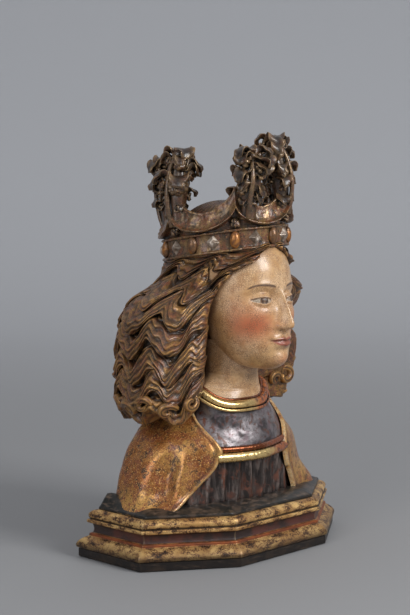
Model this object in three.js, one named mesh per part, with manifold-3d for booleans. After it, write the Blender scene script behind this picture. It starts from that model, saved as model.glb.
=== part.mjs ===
// A crowned bust of carved, gilded and painted wood on a moulded six-sided plinth.
// Millimetres, +Z up. The figure faces -Y, so its own left is +X. The origin is the middle of the
// underside, on the ground.
import * as THREE from 'three';
import { mergeVertices } from 'three/addons/utils/BufferGeometryUtils.js';
import Module from 'manifold-3d';

const wasm = await Module();
wasm.setup();

const { lerp, smoothstep, clamp, degToRad } = THREE.MathUtils;
const fullTurn = 2 * Math.PI;

// Plinth plan: a rectangle with its two front corners cut off
const plinthWidth = 409;
const plinthDepth = 210;
const frontFacet = 180;
const chamferDepth = 81;

// Plinth heights
const boardTop = 12.2;
const plinthTop = 67;
const restGap = 0.3;

// Foot of the bust: a low sloping slab, set back from the plinth's top edge
const footInset = 21;
const footLip = 3;
const footTop = 77;
const footSlope = 16;
const footBank = 14;

// Body
const bodyWidest = 30;
const bodyTop = 250;
const dressInset = 7;
const pleatPitch = 23;
const pleatDepth = 6;
const skirtTop = 148;
const bandHeight = 145;
// The neckline is an oval ring, low at the front. It has risen by rise at the share level of its depth.
const neckline = {
  x: -13, y: -2, halfWidth: 68, halfDepth: 45, front: 212, rise: 25, level: -0.08, roll: 7,
};

// Head: it looks almost straight ahead. Its centre lies between the eyes.
const headTurn = degToRad(3);
const headCentre = new THREE.Vector3(2, -12, 362);
const eyeSide = 30;
const eyeHalf = 14.5;

// Crown: an oval ring that slopes up to the front and sits askew, turned to the figure's own left
const crownTurn = degToRad(21);
const crownSlope = Math.tan(degToRad(7.3));
const crownCentre = new THREE.Vector3(0, 8, 442);
const crownHalfLength = 90;
const crownHalfWidth = 81;
const bandWidth = 31;
const junctionCount = 6;
const lostFinial = 2;
const lostReach = 0.03;
const stoneCount = 18;
const stoneStand = 10;
const lozenge = { sides: 4, across: 9.5, high: 11.5 };
const almond = { sides: 6, across: 8.5, high: 13.5 };
const arcDepth = 35.7;
const hollowWidth = 25;
const finialTop = [145, 141, 0, 141, 145, 133];
// Each finial's own place beside its junction, and its lean over a height of 100, sideways and outwards
const finialAside = [0, 0, 0, 0, 0, 17];
const finialLean = [[-4, -14], [0, 0], [0, 0], [-4, 0], [-4, -12], [9, 0]];
const stalkFoot = 34;
const lobeCount = 4;
const lobeTiers = [
  { height: 62, turn: 0, reach: 12 },
  { height: 85, turn: 1, reach: 16 },
  { height: 108, turn: 2, reach: 15 },
];

// Hair: parted over the brow. Its plan is a rounded oblong about the middle, open towards the face,
// and it lies further forward on the figure's right than on its left.
const lockCount = 22;
const lockRelief = 9;
const waveLength = 52;
const waveReach = 8;
const partingHalf = degToRad(3);
const hairLength = 228;
const hairRound = 620;
const hairMiddle = 26;
const hairSquare = 3.6;
const hairEdge = degToRad(150);
const hairBack = 72;
const hairSides = {
  left: { halfWidth: 152, front: 28, end: 221 },
  right: { halfWidth: 163, front: 75, end: 210 },
};
const hairBackEnd = 202;
const templeBulge = 1.1;

// Value at x of a smooth line through [x, value] stations
function along(stations, x) {
  const last = stations.length - 1;
  const at = clamp(x, stations[0][0], stations[last][0]);
  let i = 0;
  while (i < last - 1 && at > stations[i + 1][0]) i += 1;
  const slope = (k) => {
    const [x0, y0] = stations[Math.max(k - 1, 0)];
    const [x1, y1] = stations[Math.min(k + 1, last)];
    return (y1 - y0) / (x1 - x0);
  };
  const [x0, y0] = stations[i];
  const [x1, y1] = stations[i + 1];
  const width = x1 - x0;
  const t = (at - x0) / width;
  const start = y0 * (1 + 2 * t) * (1 - t) ** 2 + slope(i) * width * t * (1 - t) ** 2;
  const end = y1 * t * t * (3 - 2 * t) + slope(i + 1) * width * t * t * (t - 1);
  return start + end;
}

// A soft bump: 1 at its middle, and almost 0 at twice its width
const bell = (x, middle, width) => Math.exp(-(((x - middle) / width) ** 2));

// A cylinder with each of its points moved by place(turn, rise, onRim)
function bend(columns, rows, place) {
  const geometry = new THREE.CylinderGeometry(1, 1, 1, columns, rows);
  const points = geometry.getAttribute('position');
  for (let i = 0; i < points.count; i += 1) {
    const x = points.getX(i);
    const z = points.getZ(i);
    const column = Math.round((Math.atan2(x, z) / fullTurn) * columns + columns) % columns;
    const rise = Math.round((points.getY(i) + 0.5) * rows) / rows;
    const point = place(column / columns, rise, Math.hypot(x, z) > 0.5);
    points.setXYZ(i, point.x, point.y, point.z);
  }
  return geometry;
}

// A tapering tube along a path. Its round faces side and outward by their own half sizes.
function sweep(path, sides, steps, outward, size) {
  return bend(sides, steps, (turn, rise, onRim) => {
    const centre = path.getPoint(rise);
    if (!onRim) return centre;
    const ahead = path.getTangent(rise);
    const out = outward(centre);
    out.addScaledVector(ahead, -out.dot(ahead)).normalize();
    const across = new THREE.Vector3().crossVectors(ahead, out);
    const [half, depth] = size(rise);
    centre.addScaledVector(out, depth * Math.cos(turn * fullTurn));
    return centre.addScaledVector(across, half * Math.sin(turn * fullTurn));
  });
}

function solid(geometry) {
  const bare = geometry.clone();
  bare.deleteAttribute('normal');
  bare.deleteAttribute('uv');
  const { index, attributes } = mergeVertices(bare, 1e-3);
  return new wasm.Manifold(new wasm.Mesh({
    numProp: 3,
    vertProperties: new Float32Array(attributes.position.array),
    triVerts: new Uint32Array(index.array),
  }));
}

// The joined solids as one body, with no pocket closed up inside it
function joined(solids) {
  const parts = wasm.Manifold.union(solids).decompose();
  return parts.reduce((a, b) => (b.volume() > a.volume() ? b : a));
}

function geometryOf(body) {
  const { vertProperties, triVerts } = body.getMesh();
  const geometry = new THREE.BufferGeometry();
  geometry.setAttribute('position', new THREE.BufferAttribute(vertProperties, 3));
  geometry.setIndex(new THREE.BufferAttribute(triVerts, 1));
  geometry.computeVertexNormals();
  return geometry;
}

// The plinth's six corners, counter-clockwise from above, moved in square to each side by inset
function plinthCorner(index, inset) {
  const sideX = plinthWidth / 2;
  const frontY = -plinthDepth / 2;
  const corners = [
    [frontFacet / 2, frontY],
    [sideX, frontY + chamferDepth],
    [sideX, -frontY],
    [-sideX, -frontY],
    [-sideX, frontY + chamferDepth],
    [-frontFacet / 2, frontY],
  ].map(([x, y]) => new THREE.Vector2(x, y));
  const corner = corners[index];
  const inward = (from, to) => {
    const ahead = to.clone().sub(from).normalize();
    return new THREE.Vector2(-ahead.y, ahead.x);
  };
  const before = inward(corners[(index + 5) % 6], corner);
  const after = inward(corner, corners[(index + 1) % 6]);
  const mitre = before.clone().add(after).divideScalar(1 + before.dot(after));
  return corner.clone().addScaledVector(mitre, inset);
}

// A mitred run of moulding, from [inset, height] pairs listed upwards. bank raises its upper half at
// the corner behind the figure's right shoulder.
function moulding(profile, bank = 0) {
  const rows = profile.length - 1;
  const backRight = 3;
  return bend(6, rows, (turn, rise, onRim) => {
    const [inset, z] = profile[Math.round(rise * rows)];
    if (!onRim) return new THREE.Vector3(0, 0, z);
    const index = Math.round(turn * 6);
    const corner = plinthCorner(index, inset);
    const raised = index === backRight && rise > 0.5 ? bank : 0;
    return new THREE.Vector3(corner.x, corner.y, z + raised);
  });
}

function baseBoard() {
  return moulding([[0.8, 0], [0, 0.8], [0, boardTop - restGap]]);
}

function plinth() {
  return moulding([
    [2, boardTop],
    [-2, 13.5],
    [-2.6, 17],
    [-1.2, 21],
    [2.4, 25],
    [7, 28],
    [11, 30],
    [11, 33],
    [15.5, 34.5],
    [16.2, 40],
    [15, 46],
    [13.6, 47.6],
    [9.4, 48.6],
    [8.6, 51],
    [9.4, 53.6],
    [12, 54.4],
    [10.6, 56],
    [10.4, 59],
    [12, 62.4],
    [15.4, 65.6],
    [18.6, plinthTop],
  ]);
}

function foot() {
  const base = plinthTop + restGap;
  return moulding([
    [footInset, base],
    [footInset, base + footLip],
    [footInset + footSlope, footTop],
    [footInset + footSlope + 12, footTop + 1],
  ], footBank);
}

// Body in plan at each height: half its width, its front, and its back
const halfWidth = (z) => along([
  [68, 181], [80, 173], [92, 167], [116, 160], [152, 142], [183, 114],
  [200, 98], [214, 84], [230, 68], [bodyTop, 50],
], z);
const chestY = (z) => along([
  [68, -66], [116, -68], [152, -71], [183, -64], [200, -58], [214, -52], [230, -44], [bodyTop, -34],
], z);
const backY = (z) => along([[68, 85], [150, 86], [183, 84], [214, 79], [bodyTop, 62]], z);
const frontRound = 1.18;
const backRound = 0.34;

function bodyPoint(angle, z, inset) {
  const side = Math.cos(angle);
  const front = Math.sin(angle);
  const round = front < 0 ? frontRound : backRound;
  const reach = (front < 0 ? bodyWidest - chestY(z) : backY(z) - bodyWidest) - inset;
  return new THREE.Vector3(
    (halfWidth(z) - inset) * Math.sign(side) * Math.abs(side) ** round,
    bodyWidest + reach * Math.sign(front) * Math.abs(front) ** round,
    z,
  );
}

// Where the cloak's two front edges run, as distances from the middle
const rightEdge = (z) => along([
  [68, 143], [76, 129], [93, 111], [110, 95], [130, 77], [150, 68], [158, 70], [195, 83], [240, 62],
], z);
const leftEdge = (z) => along([
  [68, 86], [97, 75], [115, 63], [138, 54], [150, 51], [158, 54], [195, 74], [240, 56],
], z);
const edgeAngle = (x, z) => Math.acos(clamp(x / halfWidth(z), 0.05, 0.98) ** (1 / frontRound));

function body() {
  const heights = [68, 80, 94, 110, 128, 142, 150, 164, 180, 196, 212, 230, bodyTop];
  const cloakColumns = 18;
  const dressColumns = 5;
  const columns = cloakColumns + dressColumns + 2;
  return bend(columns, heights.length - 1, (turn, rise, onRim) => {
    const z = heights[Math.round(rise * (heights.length - 1))];
    if (!onRim) return new THREE.Vector3(0, 10, z);
    const column = Math.round(turn * columns);
    const left = -edgeAngle(leftEdge(z), z);
    const right = Math.PI + edgeAngle(rightEdge(z), z);
    if (column <= cloakColumns) {
      const angle = lerp(left, right, column / cloakColumns);
      const fold = 6 * bell(angle, degToRad(205), 0.16) * (1 - smoothstep(z, 120, 175));
      const leftFlare = 12 * bell(angle, degToRad(-33), 0.25) * (1 - smoothstep(z, 80, 118));
      const rightFlare = 16 * bell(angle, degToRad(207), 0.3) * (1 - smoothstep(z, 66, 100));
      return bodyPoint(angle, z, fold - leftFlare - rightFlare);
    }
    const across = (column - cloakColumns - 1) / dressColumns;
    const hollow = dressInset + pleatDepth * (1 - smoothstep(z, skirtTop - 8, skirtTop));
    return bodyPoint(lerp(right, left + fullTurn, across), z, hollow);
  });
}

// The gathered lower front of the dress: upright pleats between the cloak's edges
function skirt() {
  const columns = 24;
  const front = columns - 2;
  const from = -152;
  const to = 72;
  const heights = [68, 84, 100, 122, skirtTop - 6, skirtTop + 4];
  return bend(columns, heights.length - 1, (turn, rise, onRim) => {
    const row = Math.round(rise * (heights.length - 1));
    const z = heights[row];
    if (!onRim) return new THREE.Vector3(-40, -20, z);
    const column = Math.round(turn * columns);
    if (column === columns - 1) return new THREE.Vector3(-40, 0, z);
    const upright = lerp(from, to, column / front);
    const x = clamp(upright, column * 0.02 - rightEdge(z) - 6, leftEdge(z) + 6 - (front - column) * 0.02);
    const fold = row === heights.length - 1 ? 1 : 0.5 - 0.5 * Math.cos((x / pleatPitch) * fullTurn);
    const angle = x < 0 ? Math.PI + edgeAngle(-x, z) : fullTurn - edgeAngle(x, z);
    const place = bodyPoint(angle, z, dressInset - 1 + pleatDepth * fold);
    return new THREE.Vector3(x, place.y, z);
  });
}

// A rolled edge that lies on the dress between the cloak's edges, at one height
function chestRoll(z, thickness, stand) {
  const points = [];
  for (let i = 0; i <= 8; i += 1) {
    const right = Math.PI + edgeAngle(rightEdge(z) + 6, z);
    const left = fullTurn - edgeAngle(leftEdge(z) + 6, z);
    const sag = 3.5 * (1 - i / 8) + 2 * Math.sin((Math.PI * i) / 8);
    points.push(bodyPoint(lerp(right, left, i / 8), z - sag, dressInset - stand));
  }
  const path = new THREE.CatmullRomCurve3(points);
  const outward = (p) => new THREE.Vector3(p.x, p.y - bodyWidest, 0);
  return sweep(path, 5, 8, outward, () => [thickness, thickness]);
}

// The rolled neckline, a closed ring that is lower at the front
function collar() {
  const geometry = new THREE.TorusGeometry(10, 1, 6, 20);
  const points = geometry.getAttribute('position');
  for (let i = 0; i < points.count; i += 1) {
    const around = Math.atan2(points.getY(i), points.getX(i));
    const out = (Math.hypot(points.getX(i), points.getY(i)) - 10) * neckline.roll;
    const climb = neckline.rise * smoothstep(Math.sin(around), -1, neckline.level);
    points.setXYZ(
      i,
      neckline.x + Math.cos(around) * (neckline.halfWidth + out),
      neckline.y + Math.sin(around) * (neckline.halfDepth + out),
      neckline.front + climb + neckline.roll * points.getZ(i),
    );
  }
  return geometry;
}

// The throat and the bare skin down to the neckline
function neck() {
  const rows = 5;
  return bend(16, rows, (turn, rise, onRim) => {
    const z = lerp(200, 306, rise);
    const x = along([[200, 66], [222, 53], [240, 45], [262, 42], [306, 46]], z);
    const y = along([[200, 48], [222, 41], [240, 39], [262, 41], [306, 46]], z);
    const angle = turn * fullTurn;
    const middle = new THREE.Vector3(lerp(-8, 0, smoothstep(rise, 0, 0.5)), lerp(6, 0, rise), z);
    if (!onRim) return middle;
    return middle.add(new THREE.Vector3(x * Math.cos(angle), y * Math.sin(angle), 0));
  });
}

// Distance to an ellipsoid, close enough near its surface
function ellipsoid(p, centre, radii) {
  const q = [0, 1, 2].map((i) => (p.getComponent(i) - centre[i]) / radii[i]);
  const reach = Math.hypot(...q);
  const rate = Math.hypot(q[0] / radii[0], q[1] / radii[1], q[2] / radii[2]);
  return rate > 0 ? (reach * (reach - 1)) / rate : -Math.min(...radii);
}

// The smaller of two distances, blended over width, and the larger of two heights
function blendIn(a, b, width) {
  const h = clamp(0.5 + (0.5 * (b - a)) / width, 0, 1);
  return lerp(b, a, h) - width * h * (1 - h);
}
const blendUp = (a, b, width) => -blendIn(-a, -b, width);

// A soft bump about a place on the face
const patch = (x, z, x0, z0, width, height) => bell(x, x0, width) * bell(z, z0, height);

// The head without features: skull, cheeks, jaw and chin as egg shapes that flow together
function headBase(point) {
  const p = new THREE.Vector3(Math.abs(point.x), point.y, point.z);
  let d = ellipsoid(p, [0, -4, 26], [71, 78, 82]);
  d = blendIn(d, ellipsoid(p, [0, -20, -22], [62, 64, 66]), 22);
  d = blendIn(d, ellipsoid(p, [0, -40, -66], [37, 44, 31]), 26);
  return blendIn(d, ellipsoid(p, [0, -66, -80], [17, 18, 15]), 16);
}

// Heights that the features stand out from the head at x beside the middle and z above the eyes.
// A plain young face on school proportions: eyes half way up, and brow, nose and chin at even steps.
function eyeRelief(x, z, h) {
  const u = (x - eyeSide) / eyeHalf;
  const rise = Math.max(1 - u * u, 0);
  const upper = 4.6 * rise ** 0.75;
  const lower = -3.3 * rise ** 0.85;
  const flat = 17.5 ** 2 - 0.92 * (x - eyeSide) ** 2 - 1.25 * z * z;
  const ball = flat > 0 ? Math.sqrt(flat) - 17.8 : -30;
  const open = smoothstep(z, lower - 0.5, lower + 0.5) * (1 - smoothstep(z, upper - 0.5, upper + 0.5));
  return blendUp(h, ball + 1.9 * (1 - open * (rise > 0.1 ? 1 : 0)), 2.5);
}

function noseRelief(x, z) {
  const half = along([[-44, 11], [-36, 12.5], [-28, 9.5], [-14, 6.6], [0, 5.6], [10, 6.5], [20, 12]], z);
  const high = along([
    [-46, 0], [-41.5, 6], [-38.5, 15.5], [-34, 19], [-29, 19], [-20, 16], [-8, 11.4],
    [4, 7.2], [12, 4.2], [20, 1.6], [32, 0],
  ], z);
  const ridge = high * (0.86 * bell(x, 0, half * 0.98) + 0.14 * bell(x, 0, half * 2.1));
  return blendUp(ridge, 9 * patch(x, z, 11.5, -35.5, 5.2, 5.6), 3);
}

function mouthRelief(x, z) {
  const line = -57 + 0.9 * bell(x, 5.5, 4);
  let h = 4 * patch(x, z, 0, -55, 24, 15);
  h += 3 * bell(z, line + 2.9, 3.2) * Math.max(1 - (x / 21.5) ** 2, 0) ** 0.7;
  h += 3.6 * bell(z, line - 5, 4.1) * Math.max(1 - (x / 17.5) ** 2, 0);
  h -= 2.6 * bell(z, line, 1.3) * Math.max(1 - (x / 22) ** 2, 0) ** 0.35;
  return h - 1.6 * patch(x, z, 22.8, -57, 4.2, 4.5);
}

function faceRelief(x, z) {
  const brow = 16.5 + 4.5 * Math.sin(clamp((x - 8) / 46, 0, 1) * Math.PI) ** 0.8;
  let h = 1.6 * bell(z, brow, 6.5) * smoothstep(x, 2, 16) * (1 - smoothstep(x, 48, 64));
  h -= 7.5 * patch(x, z, 27, 4, 19, 12.5) + 4.5 * patch(x, z, 13, 4, 8, 10);
  h = eyeRelief(x, z, h) + noseRelief(x, z) + mouthRelief(x, z);
  h -= 1.6 * patch(x, z, 18.5, -36, 2.6, 6) + 3 * patch(x, z, 0, -70.5, 17, 5.2);
  h += 2.6 * patch(x, z, 0, -84, 13, 8.5) + 3 * patch(x, z, 37, -24, 17, 17);
  return h - 1.4 * patch(x, z, 27, -48, 6, 13);
}

// The head: a ball whose points are drawn in to its surface, closest together at the front
function head() {
  const geometry = new THREE.SphereGeometry(1, 30, 26);
  const points = geometry.getAttribute('position');
  const eye = new THREE.Vector3(0, -12, -22);
  for (let i = 0; i < points.count; i += 1) {
    const y = clamp(points.getY(i), -1, 1);
    const rise = Math.asin(y);
    const around = Math.abs(y) > 0.9999 ? 0 : Math.atan2(points.getX(i), points.getZ(i));
    const share = Math.abs(around) > 3.1415 ? 1 : around / Math.PI;
    const turn = Math.PI * Math.sign(share) * (0.32 * Math.abs(share) + 0.68 * Math.abs(share) ** 2.6);
    const tip = rise * (0.6 + 0.4 * (rise / (Math.PI / 2)) ** 2);
    const ray = new THREE.Vector3(
      Math.sin(turn) * Math.cos(tip),
      -Math.cos(turn) * Math.cos(tip),
      Math.sin(tip),
    );
    let near = 0;
    let far = 180;
    for (let step = 0; step < 22; step += 1) {
      const middle = (near + far) / 2;
      const at = eye.clone().addScaledVector(ray, middle);
      const relief = faceRelief(Math.abs(at.x), at.z) * smoothstep(-at.y, 10, 45);
      if (headBase(at) < relief) near = middle;
      else far = middle;
    }
    ray.multiplyScalar(near).add(eye);
    points.setXYZ(i, ray.x, ray.y, ray.z);
  }
  geometry.rotateZ(headTurn);
  geometry.translate(headCentre.x, headCentre.y, headCentre.z);
  return geometry;
}

// The hair on top of the head, seen inside the crown
function hairDome() {
  const geometry = new THREE.SphereGeometry(1, 16, 6);
  geometry.rotateX(Math.PI / 2);
  geometry.scale(80, 82, 78);
  geometry.translate(crownCentre.x, crownCentre.y + 4, 427);
  return geometry;
}

// A point of the crown: angle from the front towards the figure's left, distance out from the
// band's oval, and height above the middle of the band
function crownPoint(angle, out, z) {
  const side = Math.sin(angle) * (crownHalfWidth + out);
  const front = Math.cos(angle) * (crownHalfLength + out);
  const point = new THREE.Vector3(side, -front, z + front * crownSlope);
  return point.applyAxisAngle(new THREE.Vector3(0, 0, 1), crownTurn).add(crownCentre);
}

// How far the hair spreads at each height, as a share of its full width
const hairSpread = {
  left: (z) => along([
    [190, 0.86], [225, 0.9], [262, 1.02], [291, 1.03], [315, 0.97], [335, 0.97],
    [362, 0.98], [385, 0.9], [404, 0.66], [440, 0.45],
  ], z),
  right: (z) => along([
    [190, 0.87], [205, 0.93], [225, 1], [330, 0.96], [352, 0.88], [364, 0.82], [377, 0.68],
    [391, 0.52], [409, 0.42], [440, 0.4],
  ], z),
};

// Half of the hair in plan at its full spread, from the middle of the back (0) to the edge beside
// the cheek (1)
class HairPlan extends THREE.Curve {
  constructor(side) {
    super();
    this.side = side;
  }

  getPoint(share) {
    const turn = share * hairEdge;
    const { halfWidth, front } = hairSides[this.side];
    const aside = Math.sin(turn);
    const back = Math.cos(turn);
    const square = (aside ** hairSquare + Math.abs(back) ** hairSquare) ** (-1 / hairSquare);
    const reach = back < 0 ? front : hairBack;
    const way = this.side === 'left' ? 1 : -1;
    return new THREE.Vector3(way * halfWidth * aside * square, reach * back * square, 0);
  }
}
const hairPlans = { left: new HairPlan('left'), right: new HairPlan('right') };

// A strand runs from under the crown, out over the head, and down to the shoulders. share goes from
// the left temple (0) round the back to the right temple (1), and drop from the crown to the ends.
function strandPoint(share, drop, lift) {
  const angle = lerp(partingHalf, fullTurn - partingHalf, share) - crownTurn;
  const top = crownPoint(angle, 0, 2 - bandWidth / 2);
  const side = share < 0.5 ? 'left' : 'right';
  const fromBack = Math.abs(2 * share - 1);
  const end = lerp(hairBackEnd, hairSides[side].end, fromBack ** 2);
  const z = lerp(top.z, end, drop);
  const low = hairPlans[side].getPointAt(fromBack);
  const spread = lerp(hairSpread[side](z), 1, 0.3 * fromBack ** 2);
  const bulge = side === 'left' ? templeBulge * Math.exp(-(((z - 374) / 26) ** 2)) : 0;
  low.x *= spread;
  low.y = hairMiddle + (low.y > 0 ? low.y : low.y * (spread + bulge));
  const away = 1 - (1 - Math.min(drop / 0.5, 1)) ** lerp(3, 2, smoothstep(fromBack, 0.6, 1));
  const point = new THREE.Vector3(lerp(top.x, low.x, away), lerp(top.y, low.y, away), z);
  const out = new THREE.Vector3(point.x, point.y - 15, 0).normalize();
  return point.addScaledVector(out, lift);
}

// The hair as one mass: ridged locks that wave together, open towards the face
function hair() {
  const outer = lockCount * 2;
  const inner = 3;
  const columns = outer + inner + 1;
  const rows = 16;
  const [wallTop, wallFoot] = [424, 214];
  return bend(columns, rows, (turn, rise, onRim) => {
    const drop = 1 - rise;
    if (!onRim) return new THREE.Vector3(0, 30, rise > 0.5 ? wallTop : wallFoot);
    const column = Math.round(turn * columns);
    if (column > outer) {
      const across = (column - outer) / (inner + 1);
      return new THREE.Vector3(lerp(-46, 46, across), 14, lerp(wallFoot, wallTop, rise));
    }
    const grown = smoothstep(drop, 0.03, 0.3);
    const lock = Math.floor(column / 2);
    const wave = (drop * hairLength) / waveLength * fullTurn + 0.5 * Math.sin(lock * 1.7);
    const sway = (waveReach * grown * Math.sin(wave)) / hairRound;
    const share = clamp(column / outer + (column % outer === 0 ? 0 : sway), 0, 1);
    const ridge = column % 2;
    const tuck = smoothstep(drop, 0.93, 1) * 12;
    const lift = 4 - lockRelief * (1 - ridge) * (0.3 + 0.7 * grown)
      + 4 * grown * Math.cos(wave) - tuck;
    const point = strandPoint(share, drop, lift);
    point.z -= 7 * ridge * smoothstep(drop, 0.8, 1);
    return point;
  });
}

function crownRing() {
  const columns = 36;
  const half = bandWidth / 2;
  const rows = 11;
  const geometry = new THREE.TorusGeometry(10, 1, rows, columns);
  const points = geometry.getAttribute('position');
  for (let i = 0; i < points.count; i += 1) {
    const row = Math.floor(i / (columns + 1)) % rows;
    const angle = ((i % (columns + 1)) / columns) * fullTurn;
    const fromArc = Math.abs((((i % (columns + 1)) / columns) * junctionCount) % 1 - 0.5) * 2;
    const climb = arcDepth * (1 - Math.sqrt(1 - (0.97 * fromArc) ** 2));
    const rim = half + 2 + climb;
    const fromLost = Math.abs((i % (columns + 1)) / columns - lostFinial / junctionCount);
    const hollow = hollowWidth * (1 + 0.2 * fromArc) * (1 - 0.5 * bell(fromLost, 0, lostReach));
    const flare = 4 * fromArc;
    const [out, z] = [
      [1, -half],
      [3, -half + 3],
      [0, -half + 5],
      [0, half - 5],
      [3, half - 4],
      [3, half - 1],
      [1, lerp(half, rim, 0.5)],
      [8 + flare, rim],
      [-1 + flare, rim + hollow * 0.35],
      [-4 + flare, rim + hollow],
      [-13, -half],
    ][row];
    const point = crownPoint(angle, out, z);
    points.setXYZ(i, point.x, point.y, point.z);
  }
  return geometry;
}

// The band's stones: lozenges and almonds in turn, a lozenge at the front
function bandStones() {
  const made = [];
  for (let i = 0; i < stoneCount; i += 1) {
    const angle = (i / stoneCount) * fullTurn;
    const { sides, across, high } = i % 2 === 0 ? lozenge : almond;
    const stone = new THREE.ConeGeometry(1, stoneStand, sides);
    stone.scale(across, 1, high);
    stone.translate(0, 3, 0);
    stone.rotateX(Math.PI);
    stone.rotateZ(angle + crownTurn);
    const place = crownPoint(angle, 0, 0);
    stone.translate(place.x, place.y, place.z);
    made.push(stone);
  }
  return made;
}

// A leaf finial: a stalk that leans a little, tiers of curled lobes all round it, and a drooping leaf
// at the top. The lost one is broken off short.
function finial(index) {
  const angle = (index / junctionCount) * fullTurn;
  const base = crownPoint(angle, 1, 0);
  const [leanSide, leanOut] = finialLean[index];
  const tip = finialTop[index];
  const turn = angle + crownTurn;
  const out = new THREE.Vector3(Math.sin(turn), -Math.cos(turn), 0);
  const side = new THREE.Vector3(Math.cos(turn), Math.sin(turn), 0);
  const at = (sideways, outwards, z) => base.clone()
    .addScaledVector(side, finialAside[index] + sideways + leanSide * Math.max(z - 30, 0) / 100)
    .addScaledVector(out, outwards + leanOut * Math.max(z - 30, 0) / 100)
    .add(new THREE.Vector3(0, 0, z));
  const limb = (list, sides, steps, size) => sweep(
    new THREE.CatmullRomCurve3(list.map((p) => at(...p))),
    sides,
    steps,
    () => out.clone().addScaledVector(side, 0.01),
    size,
  );
  if (index === lostFinial) {
    const stub = [[0, -6, stalkFoot], [0, -4, stalkFoot + 14], [1, -2, stalkFoot + 29]];
    return [limb(stub, 6, 2, () => [11, 8])];
  }
  const bouquet = bend(lobeCount * 3, 10, (round, rise, onRim) => {
    const z = lerp(stalkFoot, tip - 14, rise);
    let reach = lerp(10, 8, rise);
    let droop = 0;
    lobeTiers.forEach((tier) => {
      const level = Math.exp(-(((z - tier.height) / 10) ** 2));
      const lobe = Math.max(Math.cos((lobeCount * round + tier.turn / 3) * fullTurn), -0.2);
      reach += level * (7 + tier.reach * lobe);
      droop += level * Math.max(lobe, 0) * 9;
    });
    const way = round * fullTurn;
    if (!onRim) return at(0, 0, z);
    return at(reach * Math.sin(way), reach * Math.cos(way), z - droop);
  });
  const leaf = limb(
    [[0, 0, tip - 36], [-4, 1, tip - 16], [1, 10, tip - 10], [3, 19, tip - 22]],
    6,
    4,
    (rise) => {
      const girth = along([[0, 9], [0.5, 15], [1, 8]], rise);
      return [girth, girth * 0.7];
    },
  );
  return [bouquet, leaf];
}

function bust() {
  const pieces = [
    foot(), body(), skirt(), chestRoll(bandHeight, 7, 2), chestRoll(bandHeight + 11, 4.4, 1.5),
    collar(), neck(), head(), hairDome(), hair(), crownRing(), ...bandStones(),
  ];
  for (let i = 0; i < junctionCount; i += 1) {
    pieces.push(...finial(i));
  }
  return joined(pieces.map(solid));
}

const woods = {
  bust: new THREE.MeshStandardMaterial({ color: 0x7a5a2c, roughness: 0.45, metalness: 0.4 }),
  plinth: new THREE.MeshStandardMaterial({ color: 0x6a4a22, roughness: 0.45, metalness: 0.4 }),
  base_board: new THREE.MeshStandardMaterial({ color: 0x15110e, roughness: 0.4, metalness: 0 }),
};

const object = new THREE.Group();
const nodes = {
  bust: geometryOf(bust()),
  plinth: geometryOf(solid(plinth())),
  base_board: geometryOf(solid(baseBoard())),
};
for (const [name, geometry] of Object.entries(nodes)) {
  const mesh = new THREE.Mesh(geometry, woods[name]);
  mesh.name = name;
  object.add(mesh);
}

export default object;
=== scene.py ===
# %% [markdown]
# # A crowned bust of carved, gilded and painted wood
#
# The real bust is carved from one block of wood. The carver cuts the head, the wavy hair, the crown
# and the cloak with gouges; a painter then covers it with a chalk ground, red bole, gold or silver
# leaf and oil paint. The leaf is rubbed through on every high place, and dirt lies in every hollow.
# In the finishes below the hollows are darkened with dirt and painted shade together.
# It stands on a moulded plinth with mitred corners and a thin black board under it.
#
# We load the measured frame of the object first. Every piece below is made in the frame's own place,
# so nothing has to be fitted afterwards.

# %% Load the frame
import math

import bpy
import numpy as np
from mathutils import Matrix


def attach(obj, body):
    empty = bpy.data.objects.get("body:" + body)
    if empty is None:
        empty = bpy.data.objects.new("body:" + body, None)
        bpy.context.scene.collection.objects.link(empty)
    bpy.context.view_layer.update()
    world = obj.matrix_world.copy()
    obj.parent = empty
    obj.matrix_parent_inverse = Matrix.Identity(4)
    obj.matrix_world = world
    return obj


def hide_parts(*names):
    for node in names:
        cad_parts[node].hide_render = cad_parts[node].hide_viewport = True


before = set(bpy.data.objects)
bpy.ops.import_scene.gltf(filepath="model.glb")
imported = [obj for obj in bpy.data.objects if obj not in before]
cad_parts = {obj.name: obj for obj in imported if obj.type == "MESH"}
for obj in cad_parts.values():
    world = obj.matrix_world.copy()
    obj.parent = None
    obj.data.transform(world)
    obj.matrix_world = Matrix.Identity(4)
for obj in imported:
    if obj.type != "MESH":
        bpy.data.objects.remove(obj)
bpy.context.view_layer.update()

# %% [markdown]
# ## The camera
#
# The photograph was taken from the figure's right, slightly above the middle, with a long lens. The
# plinth's corners give the place of the camera, and its three axes are written here as directions.
# The camera is made first, so that every later step can be looked at from the same place.

# %% Camera
CAMERA_PLACE = (-1.4216, -1.3716, 0.4961)
CAMERA_RIGHT = np.array((0.7071, -0.7084, -0.0089))
CAMERA_AHEAD = np.array((0.7047, 0.7050, -0.0748))
CAMERA_LENS = 79.55
SENSOR = 36


def add_camera():
    bpy.ops.object.camera_add(location=CAMERA_PLACE)
    camera = bpy.context.object
    camera.name = "camera"
    ahead = CAMERA_AHEAD / np.linalg.norm(CAMERA_AHEAD)
    right = CAMERA_RIGHT - ahead * (CAMERA_RIGHT @ ahead)
    right /= np.linalg.norm(right)
    up = np.cross(right, ahead)
    axes = Matrix((right, up, -ahead)).transposed()
    camera.rotation_mode = "QUATERNION"
    camera.rotation_quaternion = axes.to_quaternion()
    camera.data.sensor_fit = "VERTICAL"
    camera.data.sensor_width = SENSOR
    camera.data.sensor_height = SENSOR
    camera.data.lens = CAMERA_LENS
    bpy.context.scene.camera = camera
    return camera


camera = add_camera()
print("camera at", [round(c, 2) for c in camera.location])

# %% [markdown]
# ## Millimetres and smooth curves
#
# All sizes are in millimetres, as on the carver's drawing, and each is named in the cell that first
# needs it. The figure faces -Y, +Z is up, and the figure's own left is +X. Curves that a carver would
# draw by eye, such as the width of the body at each height, are smooth lines through a few stations.

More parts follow.
